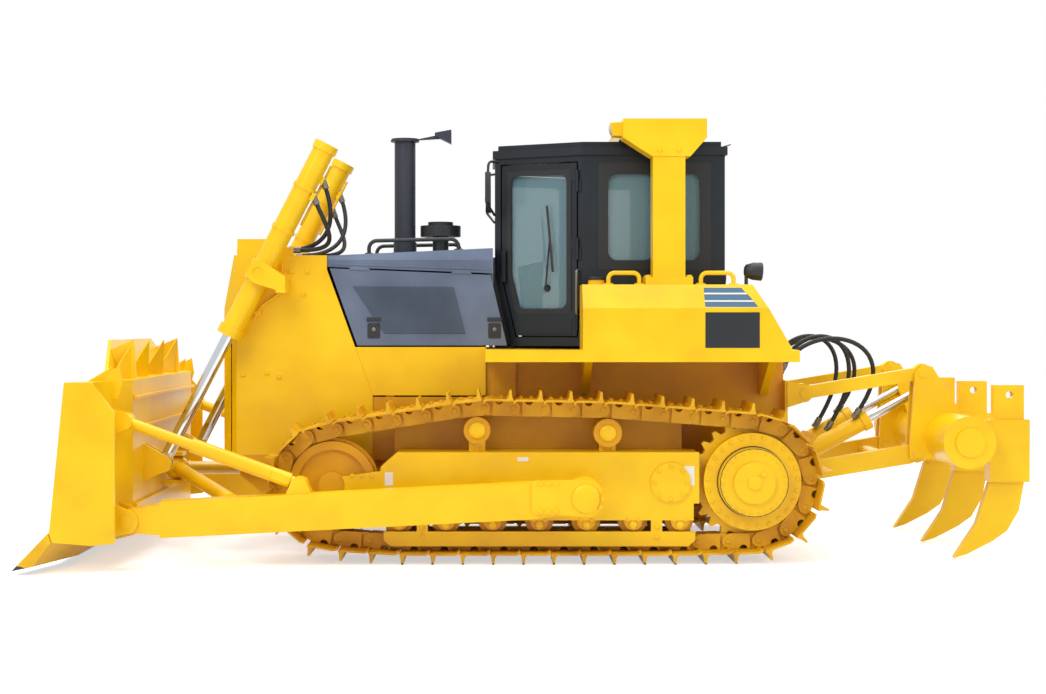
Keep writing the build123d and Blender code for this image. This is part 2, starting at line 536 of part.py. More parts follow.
def grille():
    """The grille that fills the mask: a frame, a middle post and level bars, leaning back like the mask."""
    gap, rim, bars = SEAT, 40.0, 12
    half = GRILLE_HALF - gap
    low, high = GRILLE_LOW_Z + gap, GRILLE_HIGH_Z - gap
    side = [(mask_x(z, d), z) for z, d in ((low, 10), (GUARD_BEND_Z, 10), (high, 10))]
    side += [(mask_x(z, d), z) for z, d in ((high, 45), (GUARD_BEND_Z, 45), (low, 45))]
    pieces = [plate(side, y0, y1) for y0, y1 in ((-half, -half + rim), (-rim / 2, rim / 2), (half - rim, half))]
    step = (high - low - rim) / bars
    for i in range(bars + 1):
        z = low + step * i
        level = ((mask_x(z, 14), z), (mask_x(z + rim, 14), z + rim), (mask_x(z + rim, 40), z + rim), (mask_x(z, 40), z))
        pieces.append(plate(level, -half, half))
    return fuse(*pieces)


def radiator_core():
    """The radiator's block of fins, standing on the rails behind the grille."""
    return block(CORE_X0, CORE_X1, -CORE_HALF, CORE_HALF, HULL_TOP_Z, GRILLE_HIGH_Z + 50)


# ---- hood ----------------------------------------------------------------------------------------
def guard_edge(z, gap=0.0):
    """The x of the guard's slanted rear edge at a height, less a gap."""
    slope = (GUARD_CREST_X - GUARD_REAR_X) / (GUARD_CREST_Z - GUARD_REAR_Z)
    return GUARD_REAR_X + (min(z, GUARD_CREST_Z) - GUARD_REAR_Z) * slope - gap


def hinge_z(x):
    """The height of the cover hinge line, which falls towards the cab."""
    share = (x - COVER_REAR_X) / (GUARD_CREST_X - COVER_REAR_X)
    return HINGE_REAR_Z + (HINGE_FRONT_Z - HINGE_REAR_Z) * share


def hood_top():
    """The fixed top of the hood: a shallow inverted trough between the two hinge lines."""
    front, rear = GUARD_CREST_X, HOOD_REAR_X
    outline = ((front, hinge_z(front)), (front, HOOD_FRONT_Z), (rear, HOOD_REAR_Z), (rear, hinge_z(rear)))
    hollow = ((front + 1, hinge_z(front) - 1), (front + 1, HOOD_FRONT_Z - HOOD_SKIN),
              (rear - 1, HOOD_REAR_Z - HOOD_SKIN), (rear - 1, hinge_z(rear) - 1))
    top = plate(outline, -HOOD_HALF, HOOD_HALF)
    for side in (LEFT, RIGHT):
        edge = rib(((side * (HOOD_HALF - 45), HOOD_REAR_Z + 10), (side * (HOOD_HALF + 10), HOOD_REAR_Z + 10),
                    (side * (HOOD_HALF + 10), HOOD_FRONT_Z - 55)), rear - 1, front + 1)
        top = top - edge
    top = top - plate(hollow, -HOOD_HALF + HOOD_SKIN * 2, HOOD_HALF - HOOD_SKIN * 2)
    inside = HOOD_HALF - 55
    bulkhead = block(rear, rear + 30, -inside, inside, HULL_TOP_Z, HOOD_REAR_Z - HOOD_SKIN)
    window = block(rear - 1, rear + 31, -ENGINE_HALF, ENGINE_HALF, DECK_Z1 + 100, HINGE_REAR_Z - 60)
    return fuse(top, bulkhead - window)


def side_panels():
    """The fixed panels below the engine covers, one each side, on brackets from the rails."""
    top_z = COVER_LOW_Z - OPEN_GAP
    outline = ((guard_edge(PANEL_LOW_Z, SEAT), PANEL_LOW_Z), (guard_edge(top_z, SEAT), top_z),
               (PANEL_REAR_X, top_z), (PANEL_REAR_X, PANEL_LOW_Z))
    pieces = []
    for side in (LEFT, RIGHT):
        wall = plate(outline, side * (HOOD_HALF - HOOD_SKIN), side * HOOD_HALF)
        legs = [block(x, x + 60, side * (HOOD_HALF - HOOD_SKIN - 60), side * (HOOD_HALF - HOOD_SKIN),
                      HULL_TOP_Z, COVER_LOW_Z - 60)
                for x in (PANEL_REAR_X + 80, GUARD_REAR_X - 160)]
        feet = [block(x, x + 60, side * (HULL_HALF - 60), side * (HOOD_HALF - HOOD_SKIN - 10), HULL_TOP_Z, HULL_TOP_Z + 60)
                for x in (PANEL_REAR_X + 80, GUARD_REAR_X - 160)]
        pieces.append(fuse(wall, *legs, *feet))
    return pieces


def engine_cover(side):
    """A gull-wing cover hung from the hood's edge, with its hinge knuckles and a turned-in rim."""
    front_z, rear_z = hinge_z(GUARD_CREST_X) - OPEN_GAP, hinge_z(COVER_REAR_X) - OPEN_GAP

    def ring(inset):
        gap = COVER_GAP + inset
        return ((guard_edge(front_z - inset, gap), front_z - inset), (COVER_REAR_X + gap, rear_z - inset),
                (COVER_HEEL_X + gap, COVER_LOW_Z + inset), (guard_edge(COVER_LOW_Z + inset, gap), COVER_LOW_Z + inset))

    rim = 45.0
    skin = plate(ring(0), side * (HOOD_HALF - rim), side * HOOD_HALF)
    inner = ring(rim)
    tray = skin - plate(inner, side * (HOOD_HALF - rim - 1), side * (HOOD_HALF - HOOD_SKIN))
    knuckles = []
    for x in (COVER_REAR_X + 180, GUARD_CREST_X - 260):
        start, end = ((spot, side * HOOD_HALF, hinge_z(spot) - OPEN_GAP / 2) for spot in (x, x + 90))
        knuckles.append(bar(start, end, OPEN_GAP / 2 - SEAT))
        leaf = ((x, hinge_z(x) - 30), (x + 90, hinge_z(x + 90) - 30), (x + 90, end[2]), (x, start[2]))
        knuckles.append(plate(leaf, side * (HOOD_HALF - 8), side * HOOD_HALF))
    return fuse(tray, *knuckles)


def hood_crest(x):
    """The height of the hood's top at x."""
    share = (x - HOOD_REAR_X) / (GUARD_CREST_X - HOOD_REAR_X)
    return HOOD_REAR_Z + (HOOD_FRONT_Z - HOOD_REAR_Z) * share


def under_hood():
    """Everything below the hood's top face, to trim what stands on it."""
    front, rear = GUARD_CREST_X, HOOD_REAR_X
    return plate(((front, HINGE_REAR_Z), (front, HOOD_FRONT_Z), (rear, HOOD_REAR_Z), (rear, HINGE_REAR_Z)),
                 -HOOD_HALF, HOOD_HALF)


def exhaust_stack():
    """The upright stack with its base collar, a rim at the top and the hinged rain flap with its counterweight."""
    foot = hood_crest(STACK_X) - 20
    rim_r, lid = STACK_R + 30, 8.0
    pipe = post(STACK_X, 0, foot, STACK_TOP_Z, STACK_R)
    collars = [post(STACK_X, 0, foot, foot + 120, STACK_R + 8), post(STACK_X, 0, foot, foot + 40, STACK_R + 22)]
    rim = post(STACK_X, 0, STACK_TOP_Z - 16, STACK_TOP_Z, rim_r)
    bore = post(STACK_X, 0, foot - 1, STACK_TOP_Z + 1, STACK_R - 6)
    flap = post(STACK_X, 0, STACK_TOP_Z - 1, STACK_TOP_Z + lid, rim_r - 6)
    heel, tip_x, tip_z = STACK_X - STACK_R + 10, STACK_X - FLAP_REACH, STACK_TOP_Z + FLAP_RISE
    neck = plate(((heel, STACK_TOP_Z), (heel - 60, STACK_TOP_Z), (tip_x + 60, tip_z - 68), (tip_x + 60, tip_z - 30)),
                 -15, 15)
    weight = plate(((tip_x + 130, tip_z - 46), (tip_x + 130, tip_z - 24), (tip_x, tip_z), (tip_x, tip_z - 110)),
                   -55, 55)
    return fuse(fuse(pipe, rim, *collars) - bore, flap, neck, weight) - under_hood()


def precleaner():
    """The air cleaner's mushroom cap on its stem."""
    foot = hood_crest(CLEANER_X) - 20
    stem = post(CLEANER_X, 0, foot, CLEANER_Z0, CLEANER_STEM_R)
    cap = post(CLEANER_X, 0, CLEANER_Z0, CLEANER_Z1, CLEANER_R)
    return fuse(stem, cap, post(CLEANER_X, 0, CLEANER_Z1, CLEANER_Z1 + 30, CLEANER_R - 60)) - under_hood()


# ---- deck, tanks ---------------------------------------------------------------------------------
def deck():
    """The platform over the tracks, cut out round the hood, with brackets down to the gear case."""
    notch = HOOD_HALF + OPEN_GAP
    outline = ((DECK_REAR_X, -DECK_HALF), (DECK_FRONT_X, -DECK_HALF), (DECK_FRONT_X, -notch), (CASE_FRONT_X, -notch),
               (CASE_FRONT_X, notch), (DECK_FRONT_X, notch), (DECK_FRONT_X, DECK_HALF), (DECK_REAR_X, DECK_HALF))
    pieces = [floor_plate(outline, DECK_Z0, DECK_Z1)]
    for side in (LEFT, RIGHT):
        for x in (DECK_REAR_X + 120, -420):
            gusset = ((side * HULL_HALF, DECK_Z0 - 260), (side * (HULL_HALF + 40), DECK_Z0 - 260),
                      (side * (DECK_HALF - 250), DECK_Z0), (side * HULL_HALF, DECK_Z0))
            pieces.append(rib(gusset, x, x + 60))
    return fuse(*pieces)


def side_tank(side):
    """A tank on the deck: sloped rear, outer top edge bevelled, filler neck on top."""
    outline = ((TANK_FRONT_X, DECK_Z1), (TANK_FRONT_X, TANK_TOP_Z), (TANK_CREST_X, TANK_TOP_Z),
               (DECK_REAR_X + 49, DECK_Z1))
    inner, outer = side * TANK_IN_Y, side * DECK_HALF
    section = ((inner, DECK_Z1), (outer, DECK_Z1), (outer, TANK_BEVEL_Z), (outer - side * TANK_BEVEL, TANK_TOP_Z),
               (inner, TANK_TOP_Z))
    body = plate(outline, inner, outer) & rib(section, DECK_REAR_X - 10, TANK_FRONT_X + 10)
    neck = post(-450, side * (TANK_IN_Y + 120), TANK_TOP_Z - 2, TANK_TOP_Z + 45, 60)
    return fuse(body, neck)


def rear_tank():
    """The fuel tank behind the cab, its back sloped like the side tanks."""
    slope = (TANK_CREST_X - (DECK_REAR_X + 49)) / (TANK_TOP_Z - DECK_Z1)
    top_x = DECK_REAR_X + 49 + (REAR_TANK_TOP_Z - DECK_Z1) * slope
    outline = ((REAR_TANK_FRONT_X, DECK_Z1), (REAR_TANK_FRONT_X, REAR_TANK_TOP_Z), (top_x, REAR_TANK_TOP_Z),
               (DECK_REAR_X + 49, DECK_Z1))
    tank = plate(outline, -REAR_TANK_HALF, REAR_TANK_HALF)
    return fuse(tank, post(-1560, -400, REAR_TANK_TOP_Z - 2, REAR_TANK_TOP_Z + 50, 65))


# ---- cab -----------------------------------------------------------------------------------------
def cab_plan(inset=0.0):
    """(x, y) corners of the cab seen from above, moved in by the inset on every wall."""
    run_x, run_y = CAB_FRONT_X - CAB_POST_X, CAB_HALF - CAB_NOSE_HALF
    length = math.hypot(run_x, run_y)
    lean = inset * (length - run_x) / run_y           # how far the post corner slides along the side wall
    nose = CAB_NOSE_HALF - inset * (length - run_y) / run_x
    left = [(CAB_REAR_X + inset, CAB_HALF - inset), (CAB_POST_X - lean, CAB_HALF - inset),
            (CAB_FRONT_X - inset, nose)]
    return left + [(x, -y) for x, y in reversed(left)]


def door_frame(side):
    """The angled door face: its rear corner, its direction along the wall and its outward direction."""
    length = math.hypot(CAB_FRONT_X - CAB_POST_X, CAB_HALF - CAB_NOSE_HALF)
    tx, ty = (CAB_FRONT_X - CAB_POST_X) / length, -side * (CAB_HALF - CAB_NOSE_HALF) / length
    return (CAB_POST_X, side * CAB_HALF), (tx, ty), (-ty * side, tx * side), length


def door_panel(side, start, end, inner, outer, z0, z1):
    """A flat panel in the door face: from start to end along the wall, inner to outer across it."""
    (x, y), (tx, ty), (nx, ny), _ = door_frame(side)
    corners = [(x + tx * a + nx * b, y + ty * a + ny * b)
               for a, b in ((start, inner), (end, inner), (end, outer), (start, outer))]
    return floor_plate(corners if side == LEFT else corners[::-1], z0, z1)


def door_plate(side, outline, inner, outer):
    """A prism across the door face whose outline is (along the wall, z) points, from inner to outer."""
    (x, y), (tx, ty), (nx, ny), _ = door_frame(side)
    corners = [Vector(x + tx * a + nx * inner, y + ty * a + ny * inner, z) for a, z in outline]
    return solid_of(corners, (nx * (outer - inner), ny * (outer - inner), 0))


def door_outline(inset):
    """(along, z) outline of a door, or of what lies inset from its rim: its lower front edge leans back."""
    start, end = door_span()
    lean = (CAB_FRONT_X - CAB_HEEL_X) / (CAB_WAIST_Z - CAB_FLOOR_Z) / door_frame(LEFT)[1][0]
    low, high = DOOR_SILL_Z + inset, DOOR_HEAD_Z - inset
    toe = (CAB_WAIST_Z - low) * lean
    return ((start + inset, low), (end - inset - toe, low), (end - inset, CAB_WAIST_Z), (end - inset, high),
            (start + inset, high))


def door_span():
    """Where a door starts and ends along its face."""
    return DOOR_REAR, door_frame(LEFT)[3] - DOOR_NOSE


def door_hinge(side, z0, z1, start, end):
    """One knuckle on the door's hinge line with its strap along the wall."""
    (x, y), (tx, ty), (nx, ny), _ = door_frame(side)
    along, out = door_span()[0] - 10, 15
    barrel = post(x + tx * along + nx * out, y + ty * along + ny * out, z0, z1, 12)
    return fuse(barrel, door_panel(side, start, end, -2, 8, z0, z1))


HINGES_Z = (1760.0, 2290.0, 2800.0)


def cab_shell():
    """The cab's walls as one hollow shell: door openings, side, front and rear windows, open top, pads."""
    shell = floor_plate(cab_plan(), CAB_FLOOR_Z, CAB_ROOF_Z)
    shell = shell - floor_plate(cab_plan(CAB_WALL), CAB_FLOOR_Z + CAB_FLOOR, CAB_ROOF_Z + 1)
    slope = (CAB_FRONT_X - CAB_HEEL_X) / (CAB_WAIST_Z - CAB_FLOOR_Z)
    toe = ((CAB_FRONT_X + 1, CAB_FLOOR_Z - 1), (CAB_FRONT_X + 1, CAB_WAIST_Z), (CAB_HEEL_X - slope, CAB_FLOOR_Z - 1))
    shell = shell - plate(toe, -CAB_HALF, CAB_HALF)
    nose = ((CAB_HEEL_X, CAB_FLOOR_Z), (CAB_FRONT_X, CAB_WAIST_Z), (CAB_FRONT_X - CAB_WALL, CAB_WAIST_Z),
            (CAB_HEEL_X - CAB_WALL, CAB_FLOOR_Z))
    reach = CAB_NOSE_HALF - 20
    shell = fuse(shell, plate(nose, -reach, reach))
    start, end = door_span()
    for side in (LEFT, RIGHT):
        shell = shell - door_plate(side, door_outline(-OPEN_GAP), -CAB_WALL - 20, 20)
    shell = shell - block(CAB_REAR_X + 112, CAB_POST_X - 125, -CAB_HALF - 1, CAB_HALF + 1, WINDOW_Z0, WINDOW_Z1)
    shell = shell - block(CAB_REAR_X - 1, CAB_REAR_X + CAB_WALL + 1, -CAB_HALF + 120, CAB_HALF - 120, 2080, WINDOW_Z1)
    shell = shell - block(CAB_FRONT_X - CAB_WALL - 1, CAB_FRONT_X + 1, -CAB_NOSE_HALF + 70, CAB_NOSE_HALF - 70,
                          CAB_WAIST_Z + 60, WINDOW_Z1)
    pads = [post(x, side * 600, DECK_Z1, CAB_FLOOR_Z, 70) for x in (CAB_REAR_X + 150, CAB_POST_X - 50)
            for side in (LEFT, RIGHT)]
    knuckles = [door_hinge(side, z - 80, z - SEAT, 4, start - 10) for z in HINGES_Z for side in (LEFT, RIGHT)]
    return fuse(shell, *pads, *knuckles)


def cab_roof():
    """The roof panel that closes the cab, with a drip edge that follows the plan and a shallow step."""
    edge = floor_plate(cab_plan(-18), CAB_ROOF_Z + SEAT, CAB_TOP_Z - 40)
    return fuse(edge, floor_plate(cab_plan(25), CAB_TOP_Z - 40, CAB_TOP_Z))


def cab_glass():
    """Side, rear and front panes, set in their openings."""
    rebate = SEAT
    panes = []
    for side in (LEFT, RIGHT):
        y = side * (CAB_HALF - 25)
        panes.append(block(CAB_REAR_X + 112 + rebate, CAB_POST_X - 125 - rebate, y, y - side * GLASS,
                           WINDOW_Z0 + rebate, WINDOW_Z1 - rebate))
    panes.append(block(CAB_REAR_X + 25, CAB_REAR_X + 25 + GLASS, -CAB_HALF + 120 + rebate, CAB_HALF - 120 - rebate,
                       2080 + rebate, WINDOW_Z1 - rebate))
    panes.append(block(CAB_FRONT_X - 25 - GLASS, CAB_FRONT_X - 25, -CAB_NOSE_HALF + 70 + rebate,
                       CAB_NOSE_HALF - 70 - rebate, CAB_WAIST_Z + 60 + rebate, WINDOW_Z1 - rebate))
    return panes


def cab_door(side):
    """A tall door: stiles and rails round one pane, with its hinge barrels on the rear post."""
    start, end = door_span()
    leaf = door_plate(side, door_outline(0), -CAB_WALL, 0)
    hole = door_plate(side, door_outline(DOOR_STILE), -CAB_WALL - 1, 1)
    handle = door_panel(side, end - DOOR_STILE + 12, end - 14, 0, 38, 2050, 2290)
    grip = door_panel(side, end - DOOR_STILE + 11, end - 13, -1, 24, 2080, 2260)
    knuckles = [door_hinge(side, z, z + 80, start - 10, start + DOOR_STILE - 5) for z in HINGES_Z]
    return fuse(leaf - hole, handle - grip, *knuckles)


def door_glass(side):
    """The door's pane."""
    return door_plate(side, door_outline(DOOR_STILE + SEAT), -CAB_WALL / 2 - GLASS / 2, -CAB_WALL / 2 + GLASS / 2)


def operator_station():
    """The seat on its pedestal with an armrest console each side and a dash, on the cab floor."""
    floor = CAB_FLOOR_Z + CAB_FLOOR
    pedestal = block(-900, -480, -200, 200, floor, floor + 330)
    cushion = block(-950, -420, -260, 260, floor + 330, floor + 470)
    back = plate(((-960, floor + 400), (-830, floor + 400), (-930, floor + 1080), (-1050, floor + 1080)), -260, 260)
    dash = plate(((-70, floor), (60, floor), (110, floor + 560), (-70, floor + 600)), -300, 300)
    pieces = [fuse(pedestal, cushion, back), dash]
    for side in (LEFT, RIGHT):
        console = plate(((-900, floor), (-350, floor), (-330, floor + 560), (-900, floor + 620)), side * 300, side * 460)
        lever = post(-420, side * 380, floor + 550, floor + 720, 18)
        pieces.append(fuse(console, lever, Solid.make_sphere(34, Plane((-420, side * 380, floor + 730)), -90, 90, 360)))
    return pieces


def rops():
    """The rollover bar: two posts on foot plates, and a beam over the cab with gusseted ends."""
    pieces = [block(BEAM_X0, BEAM_X1, -BEAM_HALF, BEAM_HALF, BEAM_Z0, BEAM_Z1)]
    for side in (LEFT, RIGHT):
        y0, y1 = side * (ROPS_Y - ROPS_POST_Y / 2), side * (ROPS_Y + ROPS_POST_Y / 2)
        pieces.append(block(ROPS_X - ROPS_POST_X / 2, ROPS_X + ROPS_POST_X / 2, y0, y1, TANK_TOP_Z, BEAM_Z0 + 1))
        pieces.append(block(ROPS_X - ROPS_FOOT_X / 2, ROPS_X + ROPS_FOOT_X / 2, y0 - side * 40, y1 + side * 15,
                            TANK_TOP_Z, TANK_TOP_Z + ROPS_FOOT_Z))
        gusset = ((BEAM_X0, BEAM_Z0 + 1), (BEAM_X0, BEAM_Z0 - 20), (ROPS_X - 155, GUSSET_Z), (ROPS_X + 125, GUSSET_Z),
                  (BEAM_X1, BEAM_Z0 - 20), (BEAM_X1, BEAM_Z0 + 1))
        pieces.append(plate(gusset, side * (ROPS_Y - ROPS_POST_Y / 2 - 10), side * BEAM_HALF))
    return fuse(*pieces)


def work_lamps():
    """Lamp boxes on brackets: on the rollover beam facing forward, behind the tanks and on the hood's crown."""
    pieces = []
    for side in (LEFT, RIGHT):
        pieces.append(fuse(block(BEAM_X1, BEAM_X1 + 90, side * 860, side * 1010, BEAM_Z0 - 5, BEAM_Z0 + 110),
                           block(BEAM_X1 + SEAT, BEAM_X1 + 40, side * 900, side * 970, BEAM_Z0 + 60, BEAM_Z1)))
        pieces.append(fuse(block(-1665, -1518, side * 935, side * 1065, TANK_TOP_Z + 45, TANK_TOP_Z + 157),
                           block(-1560, -1530, side * 970, side * 1030, TANK_TOP_Z + SEAT, TANK_TOP_Z + 60)))
    return pieces


def handrail(points, radius, bend):
    """A round rail along straight runs with bent corners."""
    path = FilletPolyline(*points, radius=bend)
    start, after = Vector(*points[0]), Vector(*points[1])
    return sweep(Face(Wire.make_circle(radius, Plane(origin=start, z_dir=after - start))), path=path).solids()[0]


def handrails():
    """Rails on the hood and on the tanks, each foot seated on its sheet."""
    rails = []
    for side in (LEFT, RIGHT):
        y = side * 450
        rail = handrail(((1260, y, HOOD_FRONT_Z), (1260, y, 2365), (575, y, 2380), (575, y, HOOD_FRONT_Z)), 16, 60)
        rails.append(rail - under_hood())
        y = side * 1080
        rails.append(handrail(((-529, y, TANK_TOP_Z), (-529, y, 2101), (-754, y, 2101), (-754, y, TANK_TOP_Z)), 16, 45))
        rails.append(handrail(((-1203, y, TANK_TOP_Z), (-1203, y, 2101), (-1441, y, 2101), (-1441, y, TANK_TOP_Z)), 16, 45))
    return rails


# ---- blade ---------------------------------------------------------------------------------------
def wing_reach(y):
    """How far forward of the middle section the blade is at y."""
    return max(0.0, abs(y) - BEND_Y) / (BLADE_HALF - BEND_Y) * WING_REACH


def mould_wire(y):
    """The blade's section at y: a concave front face, flat back, top and heel."""
    shift = wing_reach(y)
    lip, toe = (BLADE_LIP_X + shift, y, BLADE_TOP_Z), (BLADE_TOE_X + shift, y, BLADE_TOE_Z)
    heel, back = (EDGE_SEAT_X + shift, y, EDGE_SEAT_Z), (BLADE_BACK_X + shift, y, BLADE_HEEL_Z)
    top = (BLADE_BACK_X + shift, y, BLADE_TOP_Z)
    return Wire([Line(top, back).edge(), Line(back, heel).edge(), Line(heel, toe).edge(),
                 ThreePointArc(toe, (MOULD_X + shift, y, MOULD_Z), lip).edge(), Line(lip, top).edge()])


def edge_wire(y):
    """The cutting edge's section at y, on the seat at the foot of the moulded face."""
    shift = wing_reach(y)
    points = ((BLADE_TOE_X, BLADE_TOE_Z), (EDGE_TIP_X, EDGE_TIP_Z), (EDGE_HEEL_X, EDGE_HEEL_Z),
              (EDGE_SEAT_X, EDGE_SEAT_Z))
    return Wire.make_polygon([Vector(x + shift, y, z) for x, z in points], close=True)


def loft_along(section, stations):
    """Straight lofts of one section from each y to the next, fused."""
    return fuse(*[Solid.make_loft([section(y0), section(y1)], ruled=True)
                  for y0, y1 in zip(stations, stations[1:])])


BLADE_STATIONS = (-BLADE_HALF + END_PLATE, -BEND_Y, BEND_Y, BLADE_HALF - END_PLATE)


def end_plate(side):
    """The plate that closes the blade's end and reaches back behind the wing."""
    shift = wing_reach(BLADE_HALF - END_PLATE)
    outline = ((BLADE_LIP_X + shift, BLADE_TOP_Z), (BLADE_BACK_X + shift, BLADE_TOP_Z), (END_BACK_X, 1117),
               (END_BACK_X, 218), (BLADE_BACK_X + shift, BLADE_HEEL_Z), (EDGE_SEAT_X + shift, EDGE_SEAT_Z),
               (BLADE_TOE_X + shift, BLADE_TOE_Z))
    return plate(outline, side * (BLADE_HALF - END_PLATE), side * BLADE_HALF)


def spill_guard():
    """The guard above the middle of the blade, leaning forward, its top corners cut away."""
    lip = BLADE_LIP_X
    profile = ((lip - SPILL_SKIN - 5, BLADE_TOP_Z - 5), (lip - 5, BLADE_TOP_Z - 5), (lip + SPILL_LEAN, SPILL_TOP_Z),
               (lip + SPILL_LEAN - SPILL_SKIN, SPILL_TOP_Z))
    front = ((-SPILL_LOW_Y, BLADE_TOP_Z - 5), (SPILL_LOW_Y, BLADE_TOP_Z - 5), (SPILL_LOW_Y, BLADE_TOP_Z + 20),
             (SPILL_TOP_Y, SPILL_TOP_Z), (-SPILL_TOP_Y, SPILL_TOP_Z), (-SPILL_LOW_Y, BLADE_TOP_Z + 20))
    return plate(profile, -SPILL_LOW_Y, SPILL_LOW_Y) & rib(front, lip - 100, lip + 200)


def blade():
    """The semi-U blade: moulded body, end plates, spill guard with fins, and the lugs on its back."""
    pieces = [loft_along(mould_wire, BLADE_STATIONS), spill_guard()]
    fin = ((2950, BLADE_TOP_Z - 5), (BLADE_LIP_X - 20, BLADE_TOP_Z - 5), (BLADE_LIP_X + 45, 1541), (2970, SPILL_TOP_Z))
    wing_fin = ((2960, 1200), (BLADE_LIP_X + 60, 1200), (BLADE_LIP_X + 60, BLADE_TOP_Z), (2950, 1432), (2930, 1300))
    for side in (LEFT, RIGHT):
        pieces.append(end_plate(side))
        pieces.append(plate(fin, side * 870, side * (870 + FIN)))
        pieces.append(plate(wing_fin, side * 1460, side * (1460 + FIN)))
        lift_foot = ((BLADE_BACK_X + 5, LIFT_EYE_Z - 130), (BLADE_BACK_X + 5, LIFT_EYE_Z + 150))
        pieces += ears(LIFT_EYE_X, LIFT_EYE_Z, LIFT_EYE_R + 8, lift_foot, side * LIFT_Y, EYE_HALF + RUN)
        back = BLADE_BACK_X + wing_reach(ARM_Y - ARM_WIDTH / 2) + 5
        arm_foot = ((back + 60, ARM_PIN_Z - 120), (back + 60, ARM_PIN_Z + 150))
        pieces += ears(ARM_PIN_X, ARM_PIN_Z, 85, arm_foot, side * ARM_Y, ARM_WIDTH / 2 + SEAT, bore=45 + SEAT)
        brace_foot = ((back + 60, BRACE_TOP_Z - 110), (back + 60, BRACE_TOP_Z + 110))
        pieces += ears(BRACE_TOP_X - 30, BRACE_TOP_Z, 60, brace_foot, side * (ARM_Y - 20), 45 + SEAT)
    for level in (1, -1):
        pieces.append(block(HUB_X - 60, BLADE_BACK_X + 5, -80, 80, HUB_Z + level * (HUB_R + SEAT),
                            HUB_Z + level * (HUB_R + EAR)))
    return fuse(*pieces)


def cutting_edge():
    """The bolted cutting edge with its end bits, following the bend of the blade."""
    stations = (-BLADE_HALF, -BEND_Y, BEND_Y, BLADE_HALF)
    return loft_along(edge_wire, stations)


def push_arms():
    """The box-section arms outside the tracks, with a socket on the frame's ball and a lug at the blade."""
    arms = []
    lean = (ARM_BOX_Z - ARM_PIN_Z) / (ARM_PIN_X - ARM_BOX_X)
    half = ARM_HEIGHT / 2
    front_x = ARM_PIN_X - 230
    front_z = ARM_PIN_Z + (ARM_PIN_X - front_x) * lean
    outline = ((front_x, front_z - half), (front_x, front_z + half), (ARM_BOX_X, ARM_BOX_Z + half),
               (BALL_X + 90, BALL_Z + half - 15), (BALL_X + 90, BALL_Z - half + 15), (ARM_BOX_X, ARM_BOX_Z - half))
    lug = eye_outline(ARM_PIN_X, ARM_PIN_Z, 80, ((front_x - 10, front_z - half + 20), (front_x - 10, front_z + half - 20)))
    for side in (LEFT, RIGHT):
        y0, y1 = side * (ARM_Y - ARM_WIDTH / 2), side * (ARM_Y + ARM_WIDTH / 2)
        box = plate(outline, y0, y1)
        nose = plate(lug, side * (ARM_Y - ARM_WIDTH / 2), side * (ARM_Y + ARM_WIDTH / 2))
        pin = disc(ARM_PIN_X, ARM_PIN_Z, 45, side * (ARM_Y - ARM_WIDTH / 2 - EAR - 8), side * (ARM_Y + ARM_WIDTH / 2 + EAR + 8))
        cap = disc(BALL_X, BALL_Z, 138, y0, y1)
        socket = Solid.make_sphere(BALL_R + SEAT, Plane((BALL_X, side * ARM_Y, BALL_Z)), -90, 90, 360)
        mouth = disc(BALL_X, BALL_Z, 78, side * (ARM_Y - ARM_WIDTH / 2 - 5), side * (ARM_Y - 40))
        lugs = [plate(((BRACE_FOOT_X - 110, ARM_BOX_Z), (BRACE_FOOT_X + 110, ARM_BOX_Z), (BRACE_FOOT_X + 45, BRACE_FOOT_Z + 40),
                       (BRACE_FOOT_X - 45, BRACE_FOOT_Z + 40)), side * (ARM_Y - 20 + a), side * (ARM_Y - 20 + b))
                for a, b in ((-45 - SEAT - EAR, -45 - SEAT), (45 + SEAT, 45 + SEAT + EAR))]
        arms.append(fuse(box, nose, pin, cap, *lugs) - socket - mouth)
    return arms


def tube_brace(side, barrel_r, rod_r, barrel_share):
    """A brace from the push arm to the blade: a thick barrel below, a thinner rod or screw above."""
    y = side * (ARM_Y - 20)
    low, high = (BRACE_FOOT_X, BRACE_FOOT_Z), (BRACE_TOP_X - 30, BRACE_TOP_Z)
    length = math.hypot(high[0] - low[0], high[1] - low[1])
    middle = between(low, high, length * barrel_share)
    start = between(low, high, 70)
    barrel = bar((start[0], y, start[1]), (middle[0], y, middle[1]), barrel_r)
    stub = bar((low[0], y, low[1]), (start[0], y, start[1]), rod_r)
    rod = bar((middle[0], y, middle[1]), (high[0], y, high[1]), rod_r)
    eyes = [disc(x, z, 55, y - 45, y + 45) for x, z in (low, high)]
    clear = [block(x - 200, x + 200, y + a, y + b, z - 200, z + 200) for x, z in (low,) for a, b in ((45, 200), (-200, -45))]
    return fuse(barrel, stub, rod, *eyes) - clear


def brace_strut():
    """The screw brace on the left side."""
    return tube_brace(LEFT, BRACE_R, BRACE_ROD_R, 0.62)


def tilt_cylinder():
    """The tilt cylinder on the right side."""
    return tube_brace(RIGHT, TILT_BARREL_R, TILT_ROD_R, 0.6)


def diagonal_braces():
    """Two tubes from the push arms to one ball behind the middle of the blade."""
    pieces = [Solid.make_sphere(HUB_R, Plane((HUB_X, 0, HUB_Z)), -90, 90, 360)]
    for side in (LEFT, RIGHT):
        foot_y = side * (ARM_Y - ARM_WIDTH / 2)
        tube = bar((DIAGONAL_X, foot_y + side * 40, DIAGONAL_Z), (HUB_X, 0, HUB_Z), DIAGONAL_R)
        beyond = block(DIAGONAL_X - 300, DIAGONAL_X + 300, foot_y, foot_y + side * 300, DIAGONAL_Z - 300, DIAGONAL_Z + 300)
        pieces.append(tube - beyond)
    return fuse(*pieces)


# ---- lift cylinders ------------------------------------------------------------------------------
def lift_line(distance):
    """The (x, z) point on the lift cylinder's axis at a distance from the rod eye."""
    return between((LIFT_EYE_X, LIFT_EYE_Z), (YOKE_X, YOKE_Z), distance)


